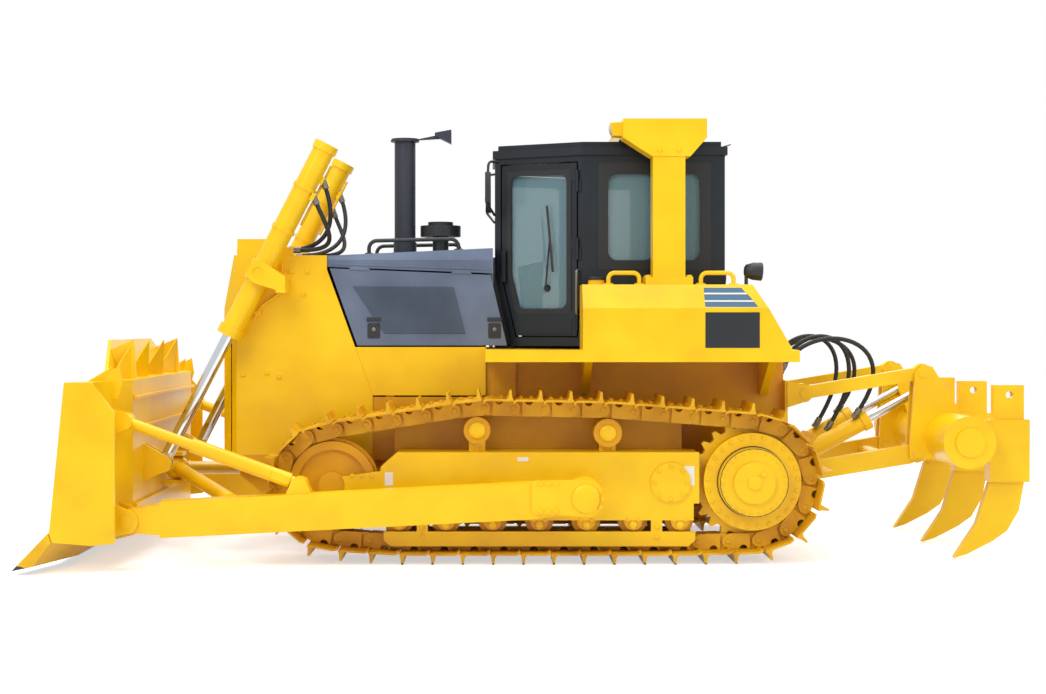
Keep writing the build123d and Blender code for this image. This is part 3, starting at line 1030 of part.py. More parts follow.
def lift_span():
    """Rod eye to trunnion at rest."""
    return math.hypot(YOKE_X - LIFT_EYE_X, YOKE_Z - LIFT_EYE_Z)


def at(point, y):
    """An (x, z) point moved out to y."""
    return (point[0], y, point[1])


def lift_barrel(side):
    """A lift barrel, bored for its rod, with gland ring, trunnion band and pins, and end cap."""
    y, span = side * LIFT_Y, lift_span()
    gland, cap = span - LIFT_BELOW, span + LIFT_ABOVE
    rings = ((gland, gland + 70, LIFT_BARREL_R + 14), (span - 75, span + 75, LIFT_BARREL_R + 18),
             (cap - 60, cap, LIFT_BARREL_R + 12))                     # from, to, radius
    pieces = [bar(at(lift_line(gland), y), at(lift_line(cap), y), LIFT_BARREL_R)]
    pieces += [bar(at(lift_line(a), y), at(lift_line(b), y), radius) for a, b, radius in rings]
    reach = LIFT_BARREL_R + 65
    pieces.append(disc(YOKE_X, YOKE_Z, TRUNNION_R, y - reach, y + reach))
    bore = bar(at(lift_line(gland - 5), y), at(lift_line(cap - 60), y), LIFT_ROD_R + SEAT)
    return fuse(*pieces) - bore


def lift_rod(side):
    """A lift rod with its eye between the blade's ears."""
    y = side * LIFT_Y
    rod = bar(at(lift_line(LIFT_EYE_R - 12), y), at(lift_line(LIFT_ROD_LENGTH), y), LIFT_ROD_R)
    rod = rod - [block(LIFT_EYE_X - 90, LIFT_EYE_X + 90, y + a, y + b, LIFT_EYE_Z - 90, LIFT_EYE_Z + 78)
                 for a, b in ((EYE_HALF, 80), (-80, -EYE_HALF))]
    return fuse(rod, disc(LIFT_EYE_X, LIFT_EYE_Z, LIFT_EYE_R, y - EYE_HALF, y + EYE_HALF))


# ---- ripper --------------------------------------------------------------------------------------
def ripper_bracket():
    """The plate bolted to the hull's rear, with ears for the arm, the link and the cylinders."""
    back = HULL_REAR_X
    pieces = [block(back - 20, back, -HULL_HALF - 90, HULL_HALF + 90, 520, 1300)]
    for side in (LEFT, RIGHT):
        y = side * LINK_Y
        for x, z in ((LOWER_X, LOWER_Z), (UPPER_X, UPPER_Z)):
            foot = ((back - 15, z + 85), (back - 15, z - 75)) if x == LOWER_X else ((back - 15, z + 85), (back - 15, z - 110))
            pieces += ears(x, z, PIN_EYE_R - 6, foot, y, LINK_HALF + RUN, bore=PIN_R + SEAT)
        y = side * RIPPER_CYL_Y
        foot = ((back - 15, RIPPER_CYL_Z + 90), (back - 15, RIPPER_CYL_Z - 90))
        pieces += ears(RIPPER_CYL_X, RIPPER_CYL_Z, 62, foot, y, RIPPER_BARREL_R - 5 + RUN, bore=PIN_R + SEAT)
    return fuse(*pieces)


def link_bar(x, z, y, depth):
    """A straight link with an eye and a pin at both ends."""
    far_x, far_z = x + LINK_DX, z + LINK_DZ
    length = math.hypot(LINK_DX, LINK_DZ)
    nx, nz = -LINK_DZ / length * depth, LINK_DX / length * depth
    start, end = between((x, z), (far_x, far_z), 40), between((far_x, far_z), (x, z), 40)
    outline = ((start[0] + nx, start[1] + nz), (end[0] + nx, end[1] + nz), (end[0] - nx, end[1] - nz),
               (start[0] - nx, start[1] - nz))
    pieces = [plate(outline, y - LINK_HALF, y + LINK_HALF)]
    reach = LINK_HALF + RUN + EAR + 6
    for pin_x, pin_z in ((x, z), (far_x, far_z)):
        pieces.append(disc(pin_x, pin_z, PIN_EYE_R, y - LINK_HALF, y + LINK_HALF))
        pieces.append(disc(pin_x, pin_z, PIN_R, y - reach, y + reach))
    return pieces


def ripper_arm():
    """The lower arm: two deep beams joined by a cross tube."""
    pieces = link_bar(LOWER_X, LOWER_Z, -LINK_Y, 70) + link_bar(LOWER_X, LOWER_Z, LINK_Y, 70)
    share, drop = 0.8, 25.0
    x, z = LOWER_X + LINK_DX * share, LOWER_Z + LINK_DZ * share
    pieces.append(disc(x, z - drop, 50, -LINK_Y, LINK_Y))
    return fuse(*pieces)


def ripper_link():
    """The upper links, one each side."""
    return [fuse(*link_bar(UPPER_X, UPPER_Z, side * LINK_Y, 48)) for side in (LEFT, RIGHT)]


def ripper_beam():
    """The tool beam: a tube with end caps, three pockets for shanks and the masts that carry the pins."""
    x, z = RIPPER_BEAM_X, RIPPER_BEAM_Z
    pieces = [disc(x, z, RIPPER_BEAM_R, -RIPPER_BEAM_HALF, RIPPER_BEAM_HALF)]
    pieces += [disc(x, z, 105, side * RIPPER_BEAM_HALF, side * (RIPPER_BEAM_HALF + 22)) for side in (LEFT, RIGHT)]
    for y in SHANKS_Y:
        outer = SHANK_HALF + POCKET_SKIN
        box = block(POCKET_X0, POCKET_X1, y - outer, y + outer, POCKET_Z0, POCKET_Z1)
        cheek = block(POCKET_X1 - 10, x, y - outer, y + outer, z - 150, z + 150)
        slot = block(SHANK_X0 - SEAT, SHANK_X1 + SEAT, y - SHANK_HALF - SEAT, y + SHANK_HALF + SEAT,
                     POCKET_Z0 - 1, POCKET_Z1 + 1)
        pieces.append(fuse(box, cheek) - slot)
    low, high = (LOWER_X + LINK_DX, LOWER_Z + LINK_DZ), (UPPER_X + LINK_DX, UPPER_Z + LINK_DZ)
    for side in (LEFT, RIGHT):
        y = side * LINK_Y
        for inner in (LINK_HALF + RUN, -LINK_HALF - RUN - EAR):
            mast = ((low[0] + 62, low[1] - 45), (low[0] + 62, low[1] + 45), (high[0] + 60, high[1]),
                    (high[0], high[1] + 66), (high[0] - 70, high[1] + 50), (x - 110, z + 150), (x - 60, z - 150))
            cheek = plate(mast, y + inner, y + inner + EAR)
            for pin_x, pin_z in (low, high):
                cheek = cheek - disc(pin_x, pin_z, PIN_R + SEAT, y + inner - 1, y + inner + EAR + 1)
            pieces.append(cheek)
        y = side * RIPPER_CYL_Y
        foot = ((x - 60, z + 150), (x + 100, z + 100))
        pieces += ears(RIPPER_ROD_PIN_X, RIPPER_ROD_PIN_Z, 66, foot, y, EYE_HALF + RUN)
    return fuse(*pieces)


def ripper_shanks():
    """Three shanks held in the pockets, each with its lifting hole and pointed tip."""
    outline = ((SHANK_X0, SHANK_TOP_Z), (SHANK_X1, SHANK_TOP_Z), (-3343, 596), (-3236, 259), (-3074, 10), (-3170, 40),
               (-3355, 134), (-3461, 209), (-3549, 359), (SHANK_X0, 559))
    front = ((SHANK_X1 + 40, POCKET_Z0 - 5), (SHANK_X1 + 40, SHANK_TOP_Z + 1), (SHANK_X1, SHANK_TOP_Z + 1), (SHANK_X1, POCKET_Z0 - 5))
    shanks = []
    for y in SHANKS_Y:
        shank = plate(outline, y - SHANK_HALF, y + SHANK_HALF) - plate(front, y - 60, y + 60)
        shanks.append(shank - disc(HEAD_HOLE_X, HEAD_HOLE_Z, HEAD_HOLE_R, y - 60, y + 60))
    return shanks


def ripper_line(distance):
    """The (x, z) point on the ripper cylinder's axis at a distance from its front pin."""
    return between((RIPPER_CYL_X, RIPPER_CYL_Z), (RIPPER_ROD_PIN_X, RIPPER_ROD_PIN_Z), distance)


def ripper_barrels():
    """The barrels of the two ripper cylinders, pinned to the bracket and bored for their rods."""
    barrels = []
    for side in (LEFT, RIGHT):
        y = side * RIPPER_CYL_Y
        pin = RIPPER_BARREL_R + RUN + EAR + 2
        pieces = [bar(at(ripper_line(30), y), at(ripper_line(RIPPER_BARREL), y), RIPPER_BARREL_R),
                  bar(at(ripper_line(RIPPER_BARREL - 60), y), at(ripper_line(RIPPER_BARREL), y), RIPPER_BARREL_R + 12),
                  disc(RIPPER_CYL_X, RIPPER_CYL_Z, 62, y - RIPPER_BARREL_R + 5, y + RIPPER_BARREL_R - 5),
                  disc(RIPPER_CYL_X, RIPPER_CYL_Z, PIN_R, y - pin, y + pin)]
        clear = [block(RIPPER_CYL_X - 82, RIPPER_CYL_X + 90, y + a, y + b, RIPPER_CYL_Z - 90, RIPPER_CYL_Z + 110)
                 for a, b in ((RIPPER_BARREL_R - 5, 90), (-90, -RIPPER_BARREL_R + 5))]
        bore = bar(at(ripper_line(95), y), at(ripper_line(RIPPER_BARREL + 5), y), RIPPER_ROD_R + SEAT)
        barrels.append(fuse(fuse(*pieces[:2]) - clear, *pieces[2:]) - bore)
    return barrels


def ripper_rods():
    """The rods of the two ripper cylinders, their eyes between the beam's ears."""
    rods = []
    reach = math.hypot(RIPPER_ROD_PIN_X - RIPPER_CYL_X, RIPPER_ROD_PIN_Z - RIPPER_CYL_Z)
    for side in (LEFT, RIGHT):
        y = side * RIPPER_CYL_Y
        rod = bar(at(ripper_line(reach - RIPPER_ROD), y), at(ripper_line(reach - 45), y), RIPPER_ROD_R)
        rod = rod - [block(RIPPER_ROD_PIN_X - 80, RIPPER_ROD_PIN_X + 75, y + a, y + b, RIPPER_ROD_PIN_Z - 80, RIPPER_ROD_PIN_Z + 80)
                     for a, b in ((EYE_HALF, 60), (-60, -EYE_HALF))]
        rods.append(fuse(rod, disc(RIPPER_ROD_PIN_X, RIPPER_ROD_PIN_Z, 56, y - EYE_HALF, y + EYE_HALF)))
    return rods


# ---- write every node ----------------------------------------------------------------------------
NODES = {
    "main_frame": main_frame, "engine": engine, "radiator_guard": radiator_guard, "grille": grille,
    "radiator_core": radiator_core, "fan": fan, "hood_top": hood_top, "side_panels": side_panels,
    "exhaust_stack": exhaust_stack, "precleaner": precleaner, "deck": deck, "rear_tank": rear_tank,
    "rops": rops, "cab_shell": cab_shell, "cab_roof": cab_roof, "cab_glass": cab_glass,
    "operator_station": operator_station, "work_lamps": work_lamps, "handrails": handrails,
    "idlers": idlers, "track_rollers": track_rollers, "blade": blade, "cutting_edge": cutting_edge,
    "push_arms": push_arms, "brace_strut": brace_strut, "tilt_cylinder": tilt_cylinder,
    "diagonal_braces": diagonal_braces, "ripper_bracket": ripper_bracket, "ripper_arm": ripper_arm,
    "ripper_link": ripper_link, "ripper_beam": ripper_beam, "ripper_shanks": ripper_shanks,
    "ripper_barrels": ripper_barrels, "ripper_rods": ripper_rods,
}
PAIRS = {
    "track": track, "track_frame": track_frame, "final_drive": final_drive, "side_tank": side_tank,
    "engine_cover": engine_cover, "cab_door": cab_door, "door_glass": door_glass,
    "lift_barrel": lift_barrel, "lift_rod": lift_rod,
}


def write(name, shape):
    """One STEP file for one node."""
    solids = shape if isinstance(shape, list) else [shape]
    solids = [solid for piece in solids for solid in piece.solids()]
    export_step(solids[0] if len(solids) == 1 else Compound(solids), f"parts/{name}.step")


os.makedirs("parts", exist_ok=True)
for name, make in NODES.items():
    write(name, make())
for name, make in PAIRS.items():
    for word, side in SIDES:
        write(f"{name}_{word}", make(side))
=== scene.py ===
# %% [markdown]
# # A crawler dozer, dressed
# The frame comes first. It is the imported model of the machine, with every body and joint in place.
# Everything below is put round it in metres: +X is forward, +Y is the operator's left, +Z is up.

# %% Load the frame
import math

import bpy
import numpy as np
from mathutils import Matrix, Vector


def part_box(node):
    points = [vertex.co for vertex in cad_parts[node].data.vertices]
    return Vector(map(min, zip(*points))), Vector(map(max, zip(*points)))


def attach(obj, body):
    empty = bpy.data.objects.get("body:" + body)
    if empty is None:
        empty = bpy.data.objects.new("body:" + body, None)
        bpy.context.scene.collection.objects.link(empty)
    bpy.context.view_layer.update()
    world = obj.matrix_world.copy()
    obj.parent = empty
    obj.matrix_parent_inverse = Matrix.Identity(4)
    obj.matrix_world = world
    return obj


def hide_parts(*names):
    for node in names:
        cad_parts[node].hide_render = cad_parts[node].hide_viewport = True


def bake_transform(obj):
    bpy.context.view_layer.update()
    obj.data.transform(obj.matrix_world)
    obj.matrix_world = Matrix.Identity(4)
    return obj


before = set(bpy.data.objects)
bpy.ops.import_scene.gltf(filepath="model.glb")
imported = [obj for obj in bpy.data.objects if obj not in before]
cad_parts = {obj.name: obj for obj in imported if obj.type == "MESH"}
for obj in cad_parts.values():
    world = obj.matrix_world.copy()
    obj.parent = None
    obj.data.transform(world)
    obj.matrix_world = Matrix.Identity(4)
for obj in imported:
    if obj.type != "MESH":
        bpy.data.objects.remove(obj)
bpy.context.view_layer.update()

# %% [markdown]
# ## Colours and node helpers
# Paint charts and screens give colours as sRGB hex. Shaders want linear light, so one function turns
# the first into the second. A second small function adds a shader node, sets it and links it.

# %% Colour and node helpers
def linear(hex_colour):
    """sRGB hex to linear RGBA: each channel c becomes ((c + 0.055) / 1.055) ** 2.4 above 0.04045."""
    c = np.array([int(hex_colour[i:i + 2], 16) for i in (1, 3, 5)]) / 255
    c = np.where(c <= 0.04045, c / 12.92, ((c + 0.055) / 1.055) ** 2.4)
    return (*c.tolist(), 1.0)


def add(owner, kind, links=(), stops=(), **settings):
    """Adds a shader node to a material or the world, with its settings, colour stops and links from others."""
    node = owner.node_tree.nodes.new("ShaderNode" + kind)
    for name, value in settings.items():
        if hasattr(node, name):
            setattr(node, name, value)
        else:
            node.inputs[name.replace("_", " ")].default_value = value
    for output, name in links:
        owner.node_tree.links.new(output, node.inputs[name])
    for _ in stops[2:]:
        node.color_ramp.elements.new(0.5)
    for index, (place, colour) in enumerate(stops):
        element = node.color_ramp.elements[index]
        element.position, element.color = place, linear(colour)
    return node


def finish_material(name, roughness=0.5, metallic=0.0, **settings):
    """A material with one Principled shader. Returns both."""
    material = bpy.data.materials.new(name)
    material.use_nodes = True
    shader = material.node_tree.nodes["Principled BSDF"]
    for socket, value in dict(settings, Roughness=roughness, Metallic=metallic).items():
        shader.inputs[socket.replace("_", " ")].default_value = value
    return material, shader


def feed(shader, **outputs):
    """Links other nodes' outputs to a shader's sockets."""
    for socket, output in outputs.items():
        shader.id_data.links.new(output, shader.inputs[socket.replace("_", " ")])


def place_on(material, size_mm):
    """The link for a pattern: Object coordinates, scaled so that one of its cells is size_mm across."""
    where = add(material, "TexCoord").outputs["Object"]
    scaled = add(material, "Mapping", [(where, "Vector")], Scale=(1000.0 / size_mm,) * 3)
    return [(scaled.outputs["Vector"], "Vector")]

# %% [markdown]
# ## Sprayed machine enamel
# The yellow is a thick sprayed enamel over castings and plate. It is smooth but never flat: the spray
# leaves an orange-peel ripple a few millimetres wide, and dust dulls it in soft clouds half a metre
# wide. A flat colour or a painted picture could stand in, but neither holds up close. So noise makes
# both: the ripple goes into the bump, and the clouds shift the colour and the roughness.

# %% Enamel
PEEL_MM, CLOUD_MM = 7.0, 420.0      # width of the spray's ripple and of a dust cloud


def enamel(name, tones, roughness=0.34, ripple=0.05):
    """Sprayed enamel: tones are the dark, middle and light sRGB colours that the dust clouds run through."""
    material, shader = finish_material(name, roughness, Specular_IOR_Level=0.32,
                                       Coat_Weight=0.08, Coat_Roughness=0.12)
    clouds = add(material, "TexNoise", place_on(material, CLOUD_MM), Scale=1.0, Detail=4.0).outputs["Fac"]
    tone = add(material, "ValToRGB", [(clouds, "Fac")], tuple(zip((0.3, 0.5, 0.72), tones)))
    dull = add(material, "MapRange", [(clouds, "Value")],
               From_Min=0.3, From_Max=0.7, To_Min=roughness - 0.05, To_Max=roughness + 0.1)
    peel = add(material, "TexNoise", place_on(material, PEEL_MM), Scale=1.0, Detail=2.0)
    bump = add(material, "Bump", [(peel.outputs["Fac"], "Height")], Strength=ripple, Distance=0.001)
    feed(shader, Base_Color=tone.outputs["Color"], Roughness=dull.outputs["Result"],
         Normal=bump.outputs["Normal"])
    return material


# Baked enamel over plate: a warm yellow with an even, soft sheen and no hard mirror.
YELLOW = enamel("yellow_sprayed_enamel", ("#f0be08", "#f8c90a", "#fdd216"))
# The same enamel in slate, a little flatter: its blue comes up where it faces the sky.
HOOD_GREY = enamel("slate_grey_enamel", ("#566278", "#616e86", "#6c7a92"), roughness=0.42)
# Near-black enamel on folded sheet: it shows its form by its highlights alone.
CAB_DARK = enamel("charcoal_enamel", ("#0c1218", "#10181f", "#162029"), roughness=0.45)
# Yellow enamel on castings low on the machine, darker as painted shade, duller, with a coarser ripple.
SHADED_YELLOW = enamel("ochre_frame_enamel", ("#d09008", "#e0a20a", "#ecb210"), roughness=0.42, ripple=0.08)
# The slate enamel one shade down, as painted shade: the panels in the engine covers read as set in.
SET_IN_SHADE_GREY = enamel("deep_slate_enamel", ("#3d4859", "#475365", "#525f72"), roughness=0.4)

# %% [markdown]
# ## Steel, chrome, rubber, glass
# The track shoes are painted with the rest and worn to bare steel where they meet the ground. Rods are
# hard chrome, ground round. Hoses are extruded rubber with a cloth print. Window glass is float glass
# with a blue-grey tint. All but the glass need only a fine grain, so one function makes them, and
# the worn paint adds a height below which the steel shows, broken up by noise as chips are.

# %% Worn paint
CHIP_MM, DIRT_MM, HAZE_MM = 60.0, 260.0, 700.0      # width of a paint chip, a smear of dirt, the haze on glass


def worn_paint(name, tones, steel, wear_z):
    """Paint over steel that shows where z < wear_z[0] + wear_z[1] * (noise - 1/2), which breaks into chips."""
    material, shader = finish_material(name, 0.45, Specular_IOR_Level=0.4)
    where = add(material, "TexCoord")
    height = add(material, "SeparateXYZ", [(where.outputs["Object"], "Vector")])
    chips = add(material, "TexNoise", place_on(material, CHIP_MM), Scale=1.0, Detail=6.0)
    edge = add(material, "Math", [(chips.outputs["Fac"], 0)], operation="MULTIPLY_ADD")
    edge.inputs[1].default_value, edge.inputs[2].default_value = wear_z[1], wear_z[0] - wear_z[1] / 2
    bare = add(material, "Math", [(edge.outputs[0], 0), (height.outputs["Z"], 1)], operation="GREATER_THAN")
    clouds = add(material, "TexNoise", place_on(material, DIRT_MM), Scale=1.0, Detail=4.0)
    tone = add(material, "ValToRGB", [(clouds.outputs["Fac"], "Fac")], tuple(zip((0.3, 0.5, 0.7), tones)))
    mix = add(material, "Mix", [(bare.outputs[0], "Factor")], data_type="RGBA")
    feed(mix, A=tone.outputs["Color"])
    mix.inputs["B"].default_value = linear(steel)
    feed(shader, Base_Color=mix.outputs["Result"])
    return material


# Enamel on forged links and rolled shoes: chipped through to grey steel where it meets the ground.
TRACK_PAINT = worn_paint("track_enamel", ("#c88e0a", "#dca40c", "#eab614"), "#6d665c", (0.015, 0.03))
# Enamel on hardened rolled plate: its lowest few centimetres are scoured to dark steel.
EDGE_PAINT = worn_paint("worn_edge_enamel", ("#e4a80c", "#f4c010", "#fcd024"), "#3a3532", (0.055, 0.075))
print("worn paints: 2")

# %% Grained finishes
def plain(name, colour, roughness, metallic=0.0, grain_mm=20.0, strength=0.1, spread=0.12, **settings):
    """A finish with a fine grain: the colour wanders a little and the grain lifts the surface."""
    material, shader = finish_material(name, roughness, metallic, **settings)
    grain = add(material, "TexNoise", place_on(material, grain_mm), Scale=1.0, Detail=5.0).outputs["Fac"]
    base = np.array(linear(colour))[:3]
    tone = add(material, "Mix", [(grain, "Factor")], data_type="RGBA")
    tone.inputs["A"].default_value = (*(base * (1 - spread)).tolist(), 1.0)
    tone.inputs["B"].default_value = (*np.minimum(base * (1 + spread), 1.0).tolist(), 1.0)
    bump = add(material, "Bump", [(grain, "Height")], Strength=strength, Distance=0.001)
    feed(shader, Base_Color=tone.outputs["Result"], Normal=bump.outputs["Normal"])
    return material


# Machined steel: grey and half bright, softened by oil.
BARE_STEEL = plain("bare_steel", "#77726a", 0.42, 0.85, grain_mm=14.0, strength=0.15)
# Sand-cast iron: dull and dark, with a skin like fine sandpaper.
DARK_CAST = plain("cast_iron_dark", "#3b3a38", 0.62, 0.3, grain_mm=6.0, strength=0.3)
# Hard chrome, ground and polished: a mirror drawn out along the rod.
CHROME = plain("hard_chrome", "#c9ccd0", 0.12, 1.0, grain_mm=3.0, strength=0.02, spread=0.03)
# Extruded rubber: black, dull, with a faint grain from the cloth that it was wrapped in.
RUBBER = plain("hose_rubber", "#0b0c0e", 0.55, 0.0, grain_mm=2.0, strength=0.1)
# Moulded polypropylene: a soft black with a fine leathery grain.
BLACK_PLASTIC = plain("black_moulded_plastic", "#1b1c1f", 0.5, 0.0, grain_mm=3.0, strength=0.15)
# Heat-proof stove paint on rolled tube: a flat black that turns bluish in the light.
STACK_BLACK = plain("heat_proof_black", "#2a2e3a", 0.55, 0.2, grain_mm=30.0, strength=0.1, spread=0.2)
# Woven polyester: matt, with a light bloom at grazing angles.
SEAT_CLOTH = plain("woven_seat_cloth", "#26282c", 0.9, 0.0, grain_mm=2.5, strength=0.4, Sheen_Weight=0.3)
# Pressed lamp glass: pale and bright, half clear.
LAMP_GLASS = finish_material("lamp_lens", 0.08, 0.0, Base_Color=linear("#dfe6ea"), Transmission_Weight=0.4)[0]
# Cut vinyl film, white, blue-grey and black: flatter than the paint round it.
BLANK_LABEL = plain("white_vinyl_label", "#e9e8e2", 0.4, 0.0, grain_mm=8.0, strength=0.02, spread=0.04)
STRIPE_BLUE = plain("blue_grey_vinyl", "#3d6480", 0.4, 0.0, grain_mm=8.0, strength=0.02, spread=0.05)
PANEL_BLACK = plain("black_vinyl", "#0c1017", 0.42, 0.0, grain_mm=8.0, strength=0.02, spread=0.1)
print("materials so far:", len(bpy.data.materials))

# %% Window glass
def window_glass(name, tint, see_through):
    """Tinted float glass: a clear shell that lets light straight through, with a mirror-smooth surface."""
    material, shader = finish_material(name, 0.03, 0.0, Base_Color=linear(tint), Alpha=1 - see_through)
    haze = add(material, "TexNoise", place_on(material, HAZE_MM), Scale=1.0, Detail=2.0)
    span = add(material, "MapRange", [(haze.outputs["Fac"], "Value")], To_Min=0.02, To_Max=0.07)
    feed(shader, Roughness=span.outputs["Result"])
    return material


# Tinted float glass: it dims and cools what stands behind it.
GLASS = window_glass("tinted_window_glass", "#7ba0ab", 0.50)
print("materials:", len(bpy.data.materials))

# %% [markdown]
# ## Camera, light and floor
# The camera stands off the machine's left side at chest height with a long lens, so the blade and the
# ripper stay in true proportion. Four soft boxes light it at a plain level. The surround could be made
# white by more light, but that bleaches the paint: so the rays that the camera sees, or sees in metal
# and through glass, meet pure white, and the light that falls on the machine is the plain level.

# %% Camera
camera = bpy.data.objects.new("camera", bpy.data.cameras.new("camera"))
camera.location = (0.319, 13.70, 1.713)
camera.rotation_euler = (math.radians(90), 0.0, math.radians(180))
camera.data.lens, camera.data.sensor_width = 59.6, 36.0
camera.data.shift_x, camera.data.shift_y = 0.0296, -0.020
bpy.context.collection.objects.link(camera)
bpy.context.scene.camera = camera
bpy.context.scene.view_settings.view_transform = "Standard"

# %% Light
def area_light(name, place, aim, size, power):
    """A square soft box at a place, turned to face a point."""
    light = bpy.data.objects.new(name, bpy.data.lights.new(name, "AREA"))
    light.data.size, light.data.energy = size, power
    light.location = place
    light.rotation_euler = (Vector(aim) - light.location).to_track_quat("-Z", "Y").to_euler()
    bpy.context.collection.objects.link(light)


area_light("key_soft_box", (5.0, 9.0, 9.0), (0, 0, 1.2), 6.0, 560)
area_light("fill_soft_box", (-7.0, 8.0, 5.0), (0, 0, 1.0), 5.0, 190)
area_light("top_soft_box", (0.0, 0.0, 11.0), (0, 0, 0), 8.0, 800)
area_light("rear_soft_box", (-2.0, -9.0, 7.0), (0, 0, 1.2), 6.0, 330)

# %% Surround and floor
def seen_directly(owner):
    """1 for rays from the camera, off metal and through glass, and 0 for the light that falls on things."""
    path = add(owner, "LightPath")
    total = path.outputs["Is Camera Ray"]
    for name in ("Is Glossy Ray", "Is Transmission Ray"):
        both = add(owner, "Math", [(total, 0), (path.outputs[name], 1)], operation="MAXIMUM")
        total = both.outputs[0]
    return total


PLAIN_LEVEL, FLOOR_GLOW = 0.46, 0.55        # light that falls on the machine, and the floor's own to the eye
world = bpy.data.worlds.new("white_studio")
world.use_nodes = True
bpy.context.scene.world = world
surround = world.node_tree.nodes["Background"]
surround.inputs["Color"].default_value = (1.0, 1.0, 1.0, 1.0)
level = add(world, "MapRange", [(seen_directly(world), "Value")], To_Min=PLAIN_LEVEL, To_Max=1.0)
feed(surround, Strength=level.outputs["Result"])

floor = bpy.data.objects.new("floor", bpy.data.meshes.new("floor"))
floor.data.from_pydata([(-40, -60, 0), (40, -60, 0), (40, 30, 0), (-40, 30, 0)], [], [(0, 1, 2, 3)])
bpy.context.collection.objects.link(floor)
floor_paper, floor_shader = finish_material("white_floor_paper", 0.9, Base_Color=(0.86, 0.86, 0.86, 1.0),
                                            Emission_Color=(1, 1, 1, 1))
glow = add(floor_paper, "Math", [(seen_directly(floor_paper), 0)], operation="MULTIPLY")
glow.inputs[1].default_value = FLOOR_GLOW
feed(floor_shader, Emission_Strength=glow.outputs[0])
floor.data.materials.append(floor_paper)
print("lamps:", len(bpy.data.lights))

# %% [markdown]
# ## Paint for the imported parts
# Most of the machine keeps its CAD shape. Each node gets the finish of the real piece, but the frame,
# rollers and idlers get a darker yellow as painted shade. A node that the later cells replace gets a
# finish too, so nothing is left bare.

# %% Finish of each node, and slot of each finish
FINISHES = {
    "hood_top": HOOD_GREY, "engine_cover_left": HOOD_GREY, "engine_cover_right": HOOD_GREY,
    "cab_shell": CAB_DARK, "cab_roof": CAB_DARK, "cab_door_left": CAB_DARK, "cab_door_right": CAB_DARK,
    "cab_glass": GLASS, "door_glass_left": GLASS, "door_glass_right": GLASS,
    "exhaust_stack": STACK_BLACK, "precleaner": BLACK_PLASTIC, "grille": YELLOW, "radiator_core": DARK_CAST,
    "engine": DARK_CAST, "fan": BLACK_PLASTIC, "operator_station": SEAT_CLOTH, "work_lamps": BLACK_PLASTIC,
    "lift_rod_left": CHROME, "lift_rod_right": CHROME, "ripper_rods": CHROME,
    # The frame, rollers and idlers take the darker yellow that is painted shade.
    "main_frame": SHADED_YELLOW, "track_left": TRACK_PAINT, "track_right": TRACK_PAINT,
    "track_rollers": SHADED_YELLOW, "idlers": SHADED_YELLOW, "cutting_edge": EDGE_PAINT,
}
for name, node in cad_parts.items():
    for socket in node.material_slots:
        socket.material = FINISHES.get(name, YELLOW)
    if not node.material_slots:
        node.data.materials.append(FINISHES.get(name, YELLOW))
print("painted:", len(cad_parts), "nodes")

# %% [markdown]
# ## Meshes from numpy
# Every new piece below is a set of numpy arrays: corners, and faces that index them. They could be
# stacked from Blender's own cubes and cylinders, but fabricated parts are plates, turnings and bent
# bar, and each of those is one outline carried along a line, round an axis or down a path. So
# `ring_loft` skins a row of closed sections, `prism`, `turned` and `tube` make the sections, and
# `piece` puts the arrays into one mesh with its finish and the body that it rides on.

# %% Mesh helpers
SIDES = ("left", 1), ("right", -1)


def merged(parts):
    """Several (vertices, faces) parts as one: each part's face indices move up by the points before it."""
    shift = np.cumsum([0] + [len(v) for v, _ in parts]).tolist()
    faces = [[i + s for i in f] for (_, fs), s in zip(parts, shift) for f in fs]
    return np.concatenate([v for v, _ in parts]), faces


def piece(name, parts, finish, body="tractor", smooth=None, bevel=None):
    """One object from parts. smooth is the sharpest angle that shades round. With no body it is left
    unattached.
    """
    vertices, faces = merged(parts)
    mesh = bpy.data.meshes.new(name)
    mesh.from_pydata(vertices, [], faces)
    mesh.materials.append(finish)
    if smooth:
        mesh.shade_smooth()
        mesh.set_sharp_from_angle(angle=math.radians(smooth))
    made = bpy.data.objects.new(name, mesh)
    bpy.context.collection.objects.link(made)
    if bevel:
        edge = made.modifiers.new("edge", "BEVEL")
        edge.width, edge.segments, edge.harden_normals = bevel, 2, True
        edge.limit_method, edge.angle_limit = "ANGLE", math.radians(40)
        mesh.shade_smooth()
    if body:
        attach(made, body)
    return made


def outward(vertices, faces):
    """Turns all faces round if the closed shape's signed volume, the sum of a . (b x c) / 6, is negative."""
    fans = np.array([(f[0], f[i], f[i + 1]) for f in faces for i in range(1, len(f) - 1)])
    a, b, c = vertices[fans].transpose(1, 0, 2)
    return vertices, (faces if np.sum(a * np.cross(b, c)) > 0 else [f[::-1] for f in faces])

# %% Lofts and prisms
def ring_loft(sections, closed=False):
    """Skins closed sections: sections[k, i] is point i of section k. The ends get caps, or meet if closed."""
    sections = np.asarray(sections, float)
    rows, columns = sections.shape[:2]
    r, c = np.arange(rows if closed else rows - 1)[:, None], np.arange(columns)
    r2, c2 = (r + 1) % rows, (c + 1) % columns
    faces = np.stack([r * columns + c, r * columns + c2, r2 * columns + c2, r2 * columns + c], axis=-1)
    faces = faces.reshape(-1, 4).tolist()
    if not closed:
        faces += [c[::-1].tolist(), (c + (rows - 1) * columns).tolist()]
    return outward(sections.reshape(-1, 3), faces)


def prism(outline, low, high, axis="y"):
    """An outline of (a, b) points carried along an axis: a, b are x, z for y, and y, z for x."""
    a, b = np.asarray(outline, float).T
    ends = [(a, np.full(len(a), t), b) if axis == "y" else (np.full(len(a), t), a, b) for t in (low, high)]
    return ring_loft([np.stack(end, axis=-1) for end in ends])


print("a box has", len(prism([(0, 0), (1, 0), (1, 1), (0, 1)], 0, 1)[1]), "faces")

